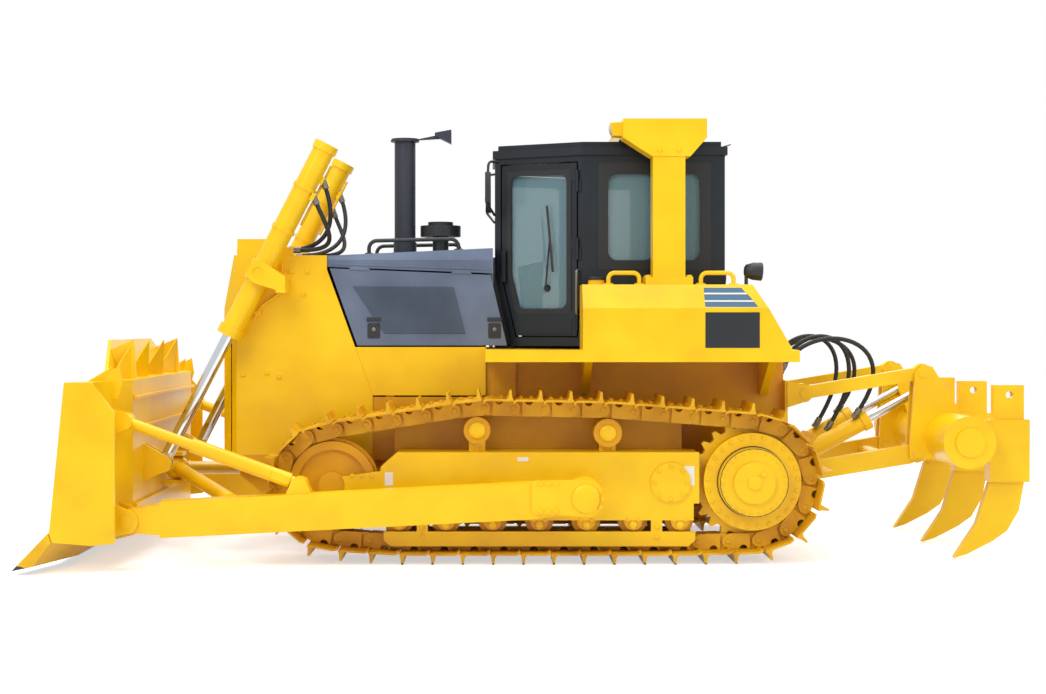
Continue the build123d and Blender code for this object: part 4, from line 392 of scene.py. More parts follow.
# %% Turned parts and tubes
def circle(side, up, segments):
    """Unit circle in the plane of two directions, side and up: cos(t) side + sin(t) up."""
    angle = np.linspace(0, 2 * np.pi, segments, endpoint=False)[:, None]
    return np.cos(angle) * side[..., None, :] + np.sin(angle) * up[..., None, :]


def turned(profile, base, axis, segments=24, ring=False):
    """A lathe shape from (distance along the axis, radius) pairs. Its ends close, or for a ring they meet."""
    base, axis = np.asarray(base, float), np.asarray(axis, float) / np.linalg.norm(axis)
    side = np.cross(axis, (0, 0, 1.0) if abs(axis[2]) < 0.9 else (1.0, 0, 0))
    side /= np.linalg.norm(side)
    rim = circle(side, np.cross(axis, side), segments)
    return ring_loft([base + t * axis + r * rim for t, r in profile], closed=ring)


def tube(path, radius, segments=12):
    """A round tube along points: each section is square to the mean of the two runs that meet there."""
    path = np.asarray(path, float)
    tangent = np.gradient(path, axis=0)
    tangent /= np.linalg.norm(tangent, axis=1, keepdims=True)
    side = np.cross(tangent, (0.0, 1.0, 0.0))
    weak = np.linalg.norm(side, axis=1) < 0.05
    side[weak] = np.cross(tangent[weak], (0.0, 0.0, 1.0))
    side /= np.linalg.norm(side, axis=1, keepdims=True)
    return ring_loft(path[:, None] + radius * circle(side, np.cross(tangent, side), segments))


print("a turned disc has", len(turned([(0, 1), (1, 1)], (0, 0, 0), (0, 0, 1))[0]), "points")

# %% Sheets and bolts
def skin(outline, face, side, thick):
    """A sheet that stands proud of a face of constant y, sunk 1 mm into it."""
    return prism(outline, *sorted((face - side * 0.001, face + side * thick)))


def rectangle(x0, x1, z0, z1):
    """A rectangle's corners, from two x and two z."""
    return [(x0, z0), (x1, z0), (x1, z1), (x0, z1)]


def bolts(centres, axis, radius, height):
    """Hex bolt heads on washers at several centres, standing along an axis."""
    made = []
    for centre in centres:
        made.append(turned([(-0.004, radius * 1.35), (0.004, radius * 1.35)], centre, axis, 16))
        made.append(turned([(0.0, radius), (height * 0.8, radius), (height, radius * 0.86)], centre, axis, 6))
    return made


def bolt_circle(centre, radius, count, turn=0.0):
    """Evenly spaced points round an axis along Y: x = r cos(a), z = r sin(a)."""
    angle = turn + 2 * np.pi * np.arange(count) / count
    x, z = centre[0] + radius * np.cos(angle), centre[2] + radius * np.sin(angle)
    return np.stack([x, np.full(count, centre[1]), z], axis=-1)


print("a bolt head has", len(bolts([(0, 0, 0)], (0, 0, 1), 0.012, 0.010)), "parts")

# %% [markdown]
# ## Track chains
# A track is a closed chain. Forty shoes are bolted to two strands of forged links, and each pin joins a
# link pair to the next. On the real chain every link is the same casting, so one link is worked out in
# its own frame, and then laid on every pitch of the pin line. An array modifier on a curve could do
# this too, but the pin line is known exactly: a belt round the wheels, of arcs and straight runs.

# %% Pin line
LINK_IN, SHOE_AT = 0.060, 0.058             # from the pin line in to the rail, and out to the shoe
PLATE, BAR = 0.015, 0.065                   # thickness of a shoe, and height of its bar
TRACK_Y, SHOE_HALF, SHOES = 1.000, 0.280, 40
ROLLER_R = 0.105
ROLLER_Z = SHOE_AT + PLATE + BAR + LINK_IN + ROLLER_R
# Each wheel is its x, its z and the radius at which the pins pass round it.
SPROCKET, IDLER = (-1.570, 0.584, 0.434), (1.480, 0.560, 0.390)
WHEELS = [(0.993, ROLLER_Z, ROLLER_R + LINK_IN), IDLER, (0.428, 0.954, ROLLER_R + LINK_IN),
          (-0.524, 0.935, ROLLER_R + LINK_IN), SPROCKET, (-1.041, ROLLER_Z, ROLLER_R + LINK_IN)]


def pin_line(distance):
    """Points of a belt at distances along it. It leaves a wheel where a normal shared with the next stands:
    at the angle to the next wheel less arccos((r - r next) / span). An arc of r * turn comes before each run.
    """
    wheels = np.array(WHEELS)
    ahead = np.roll(wheels, -1, axis=0)
    span = np.hypot(*(ahead - wheels)[:, :2].T)
    normal = np.arctan2(ahead[:, 1] - wheels[:, 1], ahead[:, 0] - wheels[:, 0])
    normal -= np.arccos((wheels[:, 2] - ahead[:, 2]) / span)
    start = np.roll(normal, 1)
    turn = (normal - start) % (2 * np.pi)
    arc, run = wheels[:, 2] * turn, np.sqrt(span ** 2 - (wheels[:, 2] - ahead[:, 2]) ** 2)
    ends = np.cumsum(arc + run)
    distance = np.asarray(distance) % ends[-1]
    k = np.searchsorted(ends, distance, side="right")
    along = distance - (ends - arc - run)[k]
    angle = start[k] + np.minimum(along, arc[k]) / wheels[k, 2]
    beyond = np.maximum(along - arc[k], 0.0)
    x = wheels[k, 0] + wheels[k, 2] * np.cos(angle) - beyond * np.sin(angle)
    z = wheels[k, 1] + wheels[k, 2] * np.sin(angle) + beyond * np.cos(angle)
    return x, z, ends[-1]


belt_length = pin_line([0.0])[2]
pin_x, pin_z, _ = pin_line(np.arange(SHOES) * belt_length / SHOES)
link_dx, link_dz = np.roll(pin_x, -1) - pin_x, np.roll(pin_z, -1) - pin_z
link_span = np.hypot(link_dx, link_dz)
pitch = float(np.mean(link_span))
print("pins stand %.1f mm apart on the mean, on a belt of %.3f m" % (pitch * 1000, belt_length))


def lay_on_links(parts):
    """Copies parts, made in (along, y, out) about a link's middle, onto every link of the belt.

    With the link's direction (tx, tz): x = middle + along tx + out tz, z = middle + along tz - out tx.
    """
    tx, tz = (link_dx / link_span)[:, None], (link_dz / link_span)[:, None]
    middle_x, middle_z = (pin_x + link_dx / 2)[:, None], (pin_z + link_dz / 2)[:, None]
    vertices, faces = merged(parts)
    along, y, out = vertices.T
    x, z = middle_x + along * tx + out * tz, middle_z + along * tz - out * tx
    return [outward(laid, faces) for laid in np.stack([x, np.broadcast_to(y, x.shape), z], axis=-1)]


def aside(parts, y=0.0, z=0.0):
    """Parts moved along y and z."""
    return [(v + (0, y, z), f) for v, f in parts]

# %% [markdown]
# ### The shoe and the links
# The shoe's plate overlaps the next one with a dropped lip, and its bar has a cast root. Each link is a
# dog-leg forging: its rear half sits inside the next link's front half. It has a nut window near the
# shoe, which shows as a dark half-moon between the pins.

# %% Shoe and link shapes
def shoe(half_y):
    """A shoe's outline in (along, out), carried over its width: curled lip, flat plate and one bar."""
    h, base, top = pitch / 2 - 0.003, SHOE_AT, SHOE_AT + PLATE
    lip = [(-h - 0.010, base - 0.018), (-h + 0.004, base - 0.008), (-h + 0.020, base)]
    bar = [(h - 0.006, top), (h - 0.012, top + 0.012), (h - 0.019, top + BAR), (h - 0.033, top + BAR),
           (h - 0.040, top + 0.016), (h - 0.052, top)]
    heel = [(h - 0.012, base), (h - 0.002, base + 0.008)]
    return prism(lip + heel + bar + [(-h + 0.018, top), (-h - 0.012, top - 0.012)], -half_y, half_y)


def arc_points(centre, radius, start, end, count):
    """Points on a circle from one angle to another, in degrees."""
    angle = np.radians(np.linspace(start, end, count))
    return [(centre[0] + radius * c, centre[1] + radius * s) for c, s in zip(np.cos(angle), np.sin(angle))]


def link_side(y0, y1, end):
    """Half a dog-leg link: a boss round one pin, a rail, and a foot under the shoe with a half-moon window."""
    h, boss, cut = pitch / 2, 0.046, 0.060
    window = arc_points((0.0, SHOE_AT - 0.002), 0.030, 0, -180, 7)[::-1]
    outline = [(-h + cut, SHOE_AT - 0.001)] + window + [(h - 0.030, SHOE_AT - 0.001)]
    rail = -LINK_IN + 0.004
    outline += arc_points((h, 0.0), boss, 75, -60, 6) + [(h - 0.012, rail), (-h + cut, rail)]
    along, out = np.array(outline).T
    return prism(np.stack([end * along, out], axis=-1), min(y0, y1), max(y0, y1))


def track_pieces(side):
    """Shoes, link strands with their pins and bushings, and shoe bolts, for one track."""
    links = []
    for flip in (-1, 1):
        links.append(link_side(flip * 0.048, flip * 0.070, -1))
        links.append(link_side(flip * 0.071, flip * 0.094, 1))
    pin_end, across = [(0, 0.018), (0.003, 0.021), (0.199, 0.021), (0.202, 0.018)], (0, 1, 0)
    links.append(turned(pin_end, (-pitch / 2, -0.101, 0), across, 12))
    links.append(turned([(0, 0.033), (0.096, 0.033)], (-pitch / 2, -0.048, 0), across, 14))
    heads = bolts([(a, y, 0.0) for a in (-0.055, 0.02) for y in (-0.075, 0.075)], (0, 0, 1), 0.014, 0.014)
    sets = ([shoe(SHOE_HALF)], links, aside(heads, z=SHOE_AT + PLATE))
    return [aside(lay_on_links(parts), y=side * TRACK_Y) for parts in sets]


for name, side in SIDES:
    shoes, chain, nuts = track_pieces(side)
    made = [piece("track_shoes_" + name, shoes, TRACK_PAINT),
            piece("track_links_" + name, chain, TRACK_PAINT, smooth=35),
            piece("shoe_bolts_" + name, nuts, TRACK_PAINT)]
    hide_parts("track_" + name)
    print(name, "track:", sum(len(o.data.polygons) for o in made), "faces")

# %% [markdown]
# ## Undercarriage fittings
# Each final drive is closed by a turned cover with a ring of bolts, and the sprocket's tooth ring is
# bolted on in segments. The track frame carries a round bolted cover, blank white labels, and bolts in
# each roller collar. The heads could be a bump pattern, but bumps vanish at the edge of a form, so
# they are real: a hex head is a six-sided lathe shape, and one call lays a whole bolt circle.

# %% Final drives, roller collars and labels
FRAME_FACE, BALL = 1.175, (-0.336, 0.508)       # y of the track frame's outer face, x and z of the arm's ball


def final_drive_fittings(side):
    """Cover groove, bolt circles and plugs of one final drive, on planes of constant y."""
    out = (0, side, 0)
    x, z, _ = SPROCKET
    made = bolts(bolt_circle((x, side * 1.2355, z), 0.226, 26), out, 0.011, 0.010)
    made += bolts(bolt_circle((x, side * 1.151, z), 0.325, 25, 0.06), out, 0.013, 0.012)
    made.append(turned([(-0.002, 0.052), (0.012, 0.052), (0.018, 0.044)], (x, side * 1.262, z), out, 28))
    plug = (x - 0.062, side * 1.262, z + 0.062)
    made.append(turned([(-0.002, 0.020), (0.016, 0.020), (0.020, 0.014)], plug, out, 18))
    return made


def groove(side, y, inner, outer, depth):
    """A thin dark ring round the final drive's axle."""
    section = [(0, inner), (0, outer), (depth, outer), (depth, inner)]
    return turned(section, (SPROCKET[0], side * y, SPROCKET[1]), (0, side, 0), 48, ring=True)


def frame_fittings(side):
    """Bolts of the round cover and the roller collars, and the guard's hanger bolts."""
    out, face = (0, side, 0), side * FRAME_FACE
    made = bolts(bolt_circle((-0.972, side * 1.197, 0.584), 0.118, 8), out, 0.014, 0.012)
    for i in range(7):
        x = 0.993 - i * (0.993 + 1.041) / 6
        made += bolts([(x + dx, face, ROLLER_Z + 0.010) for dx in (-0.040, 0.040)], out, 0.012, 0.012)
        plug = (x, face, ROLLER_Z - 0.030)
        made.append(turned([(-0.002, 0.026), (0.010, 0.026), (0.016, 0.018)], plug, out, 20))
    for x in (0.8235, -0.8715):
        made += bolts([(x, face, 0.262), (x, face, 0.190)], out, 0.017, 0.014)
    nose = [(1.33 - 0.07 * i, face, 0.56 + dz) for i in range(3) for dz in (-0.07, 0.07)]
    made += bolts(nose, out, 0.013, 0.012)
    for x, z in ((0.428, 0.954), (-0.524, 0.935)):
        cap, foot_y = (x, side * (TRACK_Y + 0.103), z), side * (TRACK_Y + 0.037)
        made.append(turned([(-0.002, 0.060), (0.012, 0.060), (0.020, 0.050)], cap, out, 24))
        made += bolts([(x + dx, foot_y, 0.82) for dx in (-0.03, 0.03)], out, 0.011, 0.010)
    return made


def push_arm_cap(side):
    """The bolted cap that holds the arm's socket on its ball: a rounded plate, a boss and nine bolts."""
    face, (x, z) = side * 1.59, BALL
    outline = [(0.020, 0.398), (0.040, 0.420), (0.040, 0.612), (0.020, 0.634), (-0.300, 0.640)]
    outline += arc_points(BALL, 0.132, 75, 255, 12)[1:] + [(-0.200, 0.390)]
    plate = prism(outline, *sorted((face, face + side * 0.022)))
    boss = turned([(0.0, 0.100), (0.030, 0.096), (0.042, 0.080)], (x, face + side * 0.018, z), (0, side, 0), 32)
    spots = [(row, low) for row in (-0.02, -0.075, -0.13) for low in (0.42, 0.612)]
    spots += [(x - 0.116 * math.cos(a), z + 0.116 * math.sin(a)) for a in (-0.5, 0.0, 0.5)]
    heads = bolts([(a, face + side * 0.022, b) for a, b in spots], (0, side, 0), 0.017, 0.014)
    return [plate, boss] + heads


# x and z of the blank labels' sides, on the track frame's outer face.
LABELS = (1.035, 1.095, 0.560, 0.655), (-1.145, -1.070, 0.560, 0.700), (0.055, 0.135, 0.735, 0.765)
for name, side in SIDES:
    piece("final_drive_bolts_" + name, final_drive_fittings(side), YELLOW, smooth=40)
    grooves = [groove(side, 1.1505, 0.2525, 0.2600, 0.002), groove(side, 1.2352, 0.2430, 0.2480, 0.0015)]
    piece("final_drive_groove_" + name, grooves, DARK_CAST)
    piece("frame_bolts_" + name, frame_fittings(side), YELLOW, smooth=40)
    piece("push_arm_cap_" + name, push_arm_cap(side), YELLOW, "blade", smooth=40)
    labels = [skin(rectangle(*spot), side * FRAME_FACE, side, 0.0012) for spot in LABELS]
    piece("blank_labels_" + name, labels, BLANK_LABEL)
print("undercarriage fittings done")

# %% [markdown]
# ## Inner roller guards
# A long plate hangs beside the rollers on the inner side of each track and keeps stones out. It also
# closes the slits between the rollers. A plate is one rectangle with bevelled edges.

# %% Guard plates
low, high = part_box("track_rollers")
rear, front = low[0] + 0.050, high[0] - 0.050
guard_outline = rectangle(front, rear, low[2] + 0.045, high[2] + 0.020)
inner_guards = [prism(guard_outline, y - 0.006, y + 0.006) for y in (0.800, -0.800)]
# The guards take the darker yellow that is painted shade for the shade under the machine.
piece("inner_roller_guards", inner_guards, SHADED_YELLOW, bevel=0.003)
print("roller guards: %.2f m long" % (front - rear))

# %% [markdown]
# ## Hood and engine covers
# The covers are pressed sheet, sprayed slate grey, with a panel let into each, painted darker as the shade
# of its recess. A flush latch sits low at both ends, and the hood's side has a raised lip over the covers.
# A pressed panel could be sculpted into the cover, but the cover is a imported part and keeps its mesh.
# So the panel is a thin plate with a bevelled edge on top of it, and light catches its rim as on a pressing.

# %% Bent bars and plates
def bent_bar(corners, bend):
    """Points along straight runs with round bends: a bend is points of its chord, pushed out to its radius."""
    corners = np.asarray(corners, float)
    path = [corners[0]]
    for before, corner, after in zip(corners, corners[1:], corners[2:]):
        u, v = before - corner, after - corner
        u, v = u / np.linalg.norm(u), v / np.linalg.norm(v)
        half = math.acos(float(np.dot(u, v))) / 2
        start, end = corner + u * bend / math.tan(half), corner + v * bend / math.tan(half)
        centre = corner + (u + v) / np.linalg.norm(u + v) * bend / math.sin(half)
        chord = start - centre + (end - start) * np.linspace(0, 1, 8)[:, None]
        path.extend(centre + chord / np.linalg.norm(chord, axis=1, keepdims=True) * bend)
    return np.array(path + [corners[-1]])


def rounded(corners, bend):
    """A closed outline whose corners are arcs: a bent bar that starts and ends halfway along its last side."""
    corners = np.asarray(corners, float)
    middle = (corners[0] + corners[-1]) / 2
    return bent_bar([middle, *corners, middle], bend)[:-1]


def sheet_plate(corners, thick):
    """A flat plate from a loop of corners, given thickness along its own normal."""
    corners = np.asarray(corners, float)
    normal = np.cross(corners[1] - corners[0], corners[2] - corners[0])
    normal *= thick / 2 / np.linalg.norm(normal)
    return ring_loft([corners - normal, corners + normal])

# %% Cover panels and latches
def latch(x, z, face, side):
    """A flush latch: a dark pull pocket over a rounded dish, with a bright lock barrel in it."""
    pocket = skin(rectangle(x - 0.054, x + 0.054, z + 0.048, z + 0.078), face, side, 0.010)
    dish = skin(rounded(rectangle(x - 0.048, x + 0.048, z - 0.080, z + 0.036), 0.014), face, side, 0.005)
    centre = (x, face + side * 0.004, z - 0.012)
    lock = turned([(0.0, 0.015), (0.007, 0.015), (0.009, 0.011)], centre, (0, side, 0), 20)
    return [pocket, dish], [lock]


HOOD_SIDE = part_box("hood_top")[1][1]
for name, side in SIDES:
    face = side * HOOD_SIDE
    panel = skin([(1.376, 2.016), (0.610, 2.010), (0.520, 1.656), (1.135, 1.656)], face, side, 0.005)
    body = "engine_cover_" + name
    # The panel's darker slate is painted shade, for the shade of a recess.
    piece("cover_panel_" + name, [panel], SET_IN_SHADE_GREY, body, bevel=0.003)
    dishes, locks = zip(latch(1.215, 1.700, face, side), latch(0.300, 1.700, face, side))
    piece("cover_latches_" + name, sum(dishes, []), BLACK_PLASTIC, body, bevel=0.002)
    piece("cover_locks_" + name, sum(locks, []), BARE_STEEL, body, smooth=35)
    ridge = [(1.545, 2.192), (0.330, 2.150), (0.330, 2.137), (1.540, 2.176)]
    edge = [skin(ridge, face, side, 0.006)]
    for x, z in ((1.24, 2.155), (0.47, 2.128)):
        tab = [(x, z - 0.022), (x + 0.16, z - 0.016), (x + 0.14, z + 0.012), (x + 0.02, z + 0.008)]
        edge.append(skin(tab, face, side, 0.007))
    piece("hood_drip_edge_" + name, edge, HOOD_GREY, bevel=0.002)
print("hood side at y = %.3f m" % HOOD_SIDE)

# %% [markdown]
# ## Rails on the hood and the tanks
# A rail is bent round bar, welded to a small flange at each end. A bevelled curve would do for it. A
# tube from the same helper as the hoses keeps one way of working, and its bends are true arcs. The
# hood's rails are black and the tanks' rails are yellow.

# %% Rails
TANK_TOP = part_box("side_tank_left")[1][2] - 0.045
hood_rails, tank_rails = [], []


def flange(x, y, z, radius, sunk=0.0):
    """The small turned foot of a rail."""
    return turned([(-sunk, radius), (0.008, radius), (0.012, radius - 0.012)], (x, y, z), (0, 0, 1), 16)


for side in (1, -1):
    y = side * 0.450
    bar = bent_bar([(1.260, y, 2.262), (1.260, y, 2.365), (0.575, y, 2.380), (0.575, y, 2.290)], 0.06)
    hood_rails += [tube(bar, 0.015), flange(1.260, y, 2.262, 0.034), flange(0.575, y, 2.294, 0.034)]
    y = side * 1.080
    for x0, x1 in ((-0.529, -0.754), (-1.203, -1.441)):
        bar = bent_bar([(x0, y, TANK_TOP), (x0, y, 2.101), (x1, y, 2.101), (x1, y, TANK_TOP)], 0.045)
        tank_rails += [tube(bar, 0.016)] + [flange(x, y, TANK_TOP, 0.036, 0.001) for x in (x0, x1)]
rails = piece("hood_rails", hood_rails, BLACK_PLASTIC, smooth=40)
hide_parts("handrails")
piece("tank_rails", tank_rails, YELLOW, smooth=40)
print("rails:", len(hood_rails) + len(tank_rails), "parts")

# %% [markdown]
# ## Tank stripes
# Three blue-grey bands with white between them cross the tank's bevel, over a dark blank panel. They
# are cut vinyl. A colour pattern on the tank's own paint could draw them, but its edges would depend
# on that mesh, so each is a thin sheet, a few millimetres proud so that it shows cleanly.

# %% Stripes and blank panel
BEVEL_LOW, BEVEL_HIGH = (1.250, 1.842), (1.130, 2.015)      # y and z of the two edges of the tank's bevel
STRIPE_X = -1.215                                           # where the bands and the panel start
# Each stripe's lower and upper height, and x of its slanted end at each.
STRIPES = (1.850, 1.887, -1.597, -1.570), (1.899, 1.941, -1.562, -1.530), (1.954, 1.990, -1.514, -1.487)


def band(side, z0, z1, rear0, rear1, thick):
    """A vinyl band on the bevel, back to its slanted end, between two heights. y runs straight up the bevel."""
    share = (np.array((z0, z1)) - BEVEL_LOW[1]) / (BEVEL_HIGH[1] - BEVEL_LOW[1])
    y0, y1 = side * (BEVEL_LOW[0] + share * (BEVEL_HIGH[0] - BEVEL_LOW[0]))
    return sheet_plate([(STRIPE_X, y0, z0), (rear0, y0, z0), (rear1, y1, z1), (STRIPE_X, y1, z1)], thick)


for name, side in SIDES:
    face = side * BEVEL_LOW[0]
    panel = skin(rectangle(STRIPE_X, -1.606, 1.556, 1.812), face, side, 0.002)
    piece("blank_panel_" + name, [panel], PANEL_BLACK)
    piece("stripe_backing_" + name, [band(side, 1.848, 1.992, -1.600, -1.484, 0.003)], BLANK_LABEL)
    piece("stripes_" + name, [band(side, *stripe, 0.006) for stripe in STRIPES], STRIPE_BLUE)
print("%d stripes a side" % len(STRIPES))

# %% [markdown]
# ## Guard bolts and pipe
# The radiator guard is bolted together, and a thin steel pipe runs down its side in two clips. The same
# bolt heads and bent bar serve here, so their sizes match the rest of the machine.

# %% Bolts and pipe
GUARD_BOLTS = (1.835, 2.125), (1.720, 2.125), (1.745, 1.955), (2.020, 1.360), (1.930, 1.330), (2.200, 1.345)
GUARD_FACE = 0.590          # y of the radiator guard's wall
PIPE_RUN = (1.905, 2.190), (1.905, 1.975), (2.060, 1.865), (2.120, 1.760)
for name, side in SIDES:
    face = side * GUARD_FACE
    heads = bolts([(x, face, z) for x, z in GUARD_BOLTS], (0, side, 0), 0.017, 0.014)
    piece("guard_bolts_" + name, heads, YELLOW, smooth=40)
    pipe = [tube(bent_bar([(x, face + side * 0.020, z) for x, z in PIPE_RUN], 0.07), 0.011, 10)]
    for x, z in ((1.905, 2.100), (2.090, 1.812)):
        pipe.append(skin(rectangle(x - 0.026, x + 0.026, z - 0.014, z + 0.014), face, side, 0.034))
    piece("guard_pipe_" + name, pipe, YELLOW, smooth=40)

print("%d bolts a side" % len(GUARD_BOLTS))

# %% [markdown]
# ## Black rubber blocks in the gap between the hood and the cab
# A wall and a floor sheet of black rubber fill the gap between the hood and the cab, as painted shade for
# the shade in that gap. Folds would not show between the two, so each is one flat block.

# %% Bellows
# Both blocks are painted shade: black put in the gap where shade falls.
upright = [(0.2975, 2.240), (0.3110, 2.240), (0.3110, 1.570), (0.1710, 1.570), (0.2975, 2.113)]
gap_shade_blocks = [prism(upright, -0.410, 0.410), prism(rectangle(-0.340, 0.300, 1.546, 1.562), -0.400, 0.400)]
piece("hood_bellows", gap_shade_blocks, RUBBER)
print("the rubber wall is %.2f m high" % (2.240 - 1.570))

# %% [markdown]
# ## Cab trim
# The cab is folded sheet with rubber seals round its glass. The doors stand at an angle to the
# machine, so a door's trim could be modelled flat and turned into place. Placing each point by its
# distance along the door wall, out from it and up does the same without a turn to keep in step.

# %% Door plane
POST, NOSE = np.array((-0.354, 0.760)), np.array((0.296, 0.420))        # x and y of the wall's two ends
WALL = (NOSE - POST) / np.linalg.norm(NOSE - POST)
WAIST_Z, TOP_Z, POST_GAP = 2.113, 2.935, 0.045      # where the door narrows, its top, its gap at the post


def on_door(side, along, out, z):
    """A point by its distance along the door wall, out from it, and its height."""
    x, y = POST + WALL * along + np.array((-WALL[1], WALL[0])) * out
    return (x, side * y, z)


def window_seal(outer, inner, place):
    """A rubber seal: the ring between two outlines of (u, v) points, from 4 mm behind a face to 6 mm proud."""
    loops = [[place(u, v, depth) for u, v in outline] for outline, depth in
             ((outer, -0.004), (outer, 0.006), (inner, 0.006), (inner, -0.004))]
    return ring_loft(loops, closed=True)


print("door wall: %.3f m long" % np.linalg.norm(NOSE - POST))

# %% [markdown]
# ## Seals, kick plates and sills
# Each pane sits in a black rubber profile, and a plain sheet closes the door below its glass. A strip
# bent along the edge could stand for the profile. It is lofted instead, as the ring between two
# rounded outlines, because its corners are tight inside and square outside.
# %% Seals, kick plates and sills
LEAN = (0.296 - 0.169) / (2.113 - 1.563) / WALL[0]          # how fast the door's front edge runs back
DOOR_END = float(np.linalg.norm(NOSE - POST)) - 0.060
SIDE_WALL, SIDE_REAR, SIDE_FRONT = 0.760, -1.315, -0.473    # the wall behind the door: its y, and its ends in x


def toe(z):
    """How far the door's front edge has run back at a height."""
    return (WAIST_Z - z) * LEAN


def door_loop(inset, low, bend):
    """The door's outline, drawn in by an inset and cut off at a height, with round corners."""
    rear, front, top = POST_GAP + inset, DOOR_END - inset, TOP_Z - inset
    return rounded([(rear, low), (front - toe(low), low), (front, WAIST_Z), (front, top), (rear, top)], bend)


def side_loop(rear, front, low, high, bend):
    """A side window's outline, with round corners."""
    return rounded(rectangle(rear, front, low, high), bend)


for name, side in SIDES:
    door = "cab_door_" + name
    seal = window_seal(door_loop(0.044, 1.806, 0.012), door_loop(0.082, 1.846, 0.055),
                       lambda along, z, out: on_door(side, along, out, z))
    piece("door_seal_" + name, [seal], RUBBER, door)
    kick_end = DOOR_END - 0.042
    kick = [(0.085, 1.655), (kick_end - toe(1.655), 1.655), (kick_end - toe(1.815), 1.815), (0.085, 1.815)]
    plate = ring_loft([[on_door(side, along, out, z) for along, z in kick] for out in (-0.012, 0.003)])
    piece("door_kick_plate_" + name, [plate], CAB_DARK, door, bevel=0.002)
    side_seals = [window_seal(side_loop(rear, front, 2.135, 2.936, 0.012),
                              side_loop(rear + 0.075, front - 0.075, 2.205, 2.850, 0.070),
                              lambda x, z, out: (x, side * (SIDE_WALL + out), z))
                  for rear, front in ((SIDE_REAR, -0.955), (-0.965, SIDE_FRONT))]
    piece("side_window_seals_" + name, side_seals, RUBBER)
    foot = rectangle(0.05, 0.52, 1.600, 1.664)
    sill = [[on_door(side, along, out, z) for along, z in foot] for out in (-0.076, -0.062)]
    piece("door_sill_seal_" + name, [ring_loft(sill)], RUBBER)
print("the door's front edge runs back %.3f m at the kick plate" % toe(1.655))

# %% [markdown]
# ## Mirror, wiper and grab bars
# A mirror hangs on a bent arm at each front corner, a wiper lies on each door's glass, and a grab bar
# is bolted to the post beside the door. All are round bar and moulded plastic, so they take the same
# tube and prism as the rest.

# %% Mirrors, wipers and grab bars
GRAB = [(0.0, 1.800), (0.042, 1.800), (0.042, 2.130), (0.0, 2.130)]     # out from the post, and height
for name, side in SIDES:
    door = "cab_door_" + name
    mirror_arm = tube(bent_bar([(0.270, side * 0.50, 2.960), (0.345, side * 0.60, 2.960),
                                (0.365, side * 0.62, 2.650), (0.300, side * 0.47, 2.560)], 0.04), 0.010)
    vertices, faces = prism([(-0.050, -0.11), (0.050, -0.11), (0.060, -0.09), (0.060, 0.09), (0.050, 0.11),
                             (-0.050, 0.11), (-0.060, 0.09), (-0.060, -0.09)], -0.022, 0.022, "x")
    shell = (vertices + (0.350, side * 0.655, 2.760), faces)
    piece("mirror_" + name, [mirror_arm, shell], BLACK_PLASTIC, smooth=45)
    wiper = [tube([on_door(side, 0.30, 0.006, 2.00), on_door(side, 0.26, 0.012, 2.40)], 0.007, 8),
             tube([on_door(side, 0.235, 0.016, 2.12), on_door(side, 0.285, 0.016, 2.62)], 0.009, 8),
             turned([(0, 0.028), (0.022, 0.022)], on_door(side, 0.30, -0.026, 2.00),
                    (-WALL[1], side * WALL[0], 0), 16)]
    piece("door_wiper_" + name, wiper, BLACK_PLASTIC, door, smooth=40)
    bar = bent_bar([on_door(side, 0.028, out, z) for out, z in GRAB], 0.02)
    piece("grab_bar_" + name, [tube(bar, 0.011)], BARE_STEEL, smooth=40)
print("cab trim done")

# %% [markdown]
# ## Hydraulic hoses
# A hose is stiff, so it leaves each fitting straight and bends in one wide arc. A cubic curve through
# two end points and two handles gives that: (1-t)^3 a + 3(1-t)^2 t b + 3(1-t) t^2 c + t^3 d. A physics
# run could find the hang, but wire-braided hose holds its curve, so the curve is drawn. The hose ends
# in a crimped ferrule and a hex nut, and each fitting rides on the body at its end.

# %% Hose and fittings
def cubic(a, b, c, d, count=28):
    """Points on a cubic Bezier curve."""
    t = np.linspace(0, 1, count)[:, None]
    a, b, c, d = (np.asarray(p, float) for p in (a, b, c, d))
    return (1 - t) ** 3 * a + 3 * (1 - t) ** 2 * t * b + 3 * (1 - t) * t ** 2 * c + t ** 3 * d


def hose(name, a, b, c, d, body, end_body, radius=0.017):
    """A hose from a to d with handles b and c, and its fittings, bent between two bodies."""
    route = cubic(a, b, c, d)
    made = piece(name, [tube(route, radius, 12)], RUBBER, None, smooth=60)
    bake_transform(made)
    neck, crimp, nut = radius * 1.1, radius * 1.45, radius * 1.7
    for tip, inner, rides in ((route[0], route[1], body), (route[-1], route[-2], end_body)):
        way = (inner - tip) / np.linalg.norm(inner - tip)
        ferrule = [(-0.020, neck), (0.0, neck), (0.002, crimp), (0.055, crimp), (0.060, neck)]
        fitting = [turned(ferrule, tip, way, 14), turned([(-0.030, nut), (-0.004, nut)], tip, way, 6)]
        piece(name + ("_foot" if rides == body else "_head"), fitting, BARE_STEEL, rides, smooth=30)


def on_line(start, end, distance, out):
    """The (x, z) point a distance along a line and a step out from it, square to it."""
    start, end = np.array(start), np.array(end)
    way = (end - start) / np.linalg.norm(end - start)
    return start + way * distance + np.array((way[1], -way[0])) * out


def on_lift(distance, y, out=0.0):
    """A point on the lift cylinder's line, from its eye on the blade up through its yoke."""
    return np.insert(on_line(LIFT_EYE, YOKE, distance, out), 1, y)


print("a drawn curve starts at", cubic((0, 0, 0), (1, 0, 0), (1, 1, 0), (0, 1, 0))[0])

# %% [markdown]
# ## Lift and ripper lines
# Two hoses on each side come over the guard's crown and drop to ports on the lift barrel, where a steel
# pipe in two bands takes the oil down. Two more loop from the rear tank to each ripper barrel. All
# eight come from the same function, so a change of bore or fitting reaches every one.

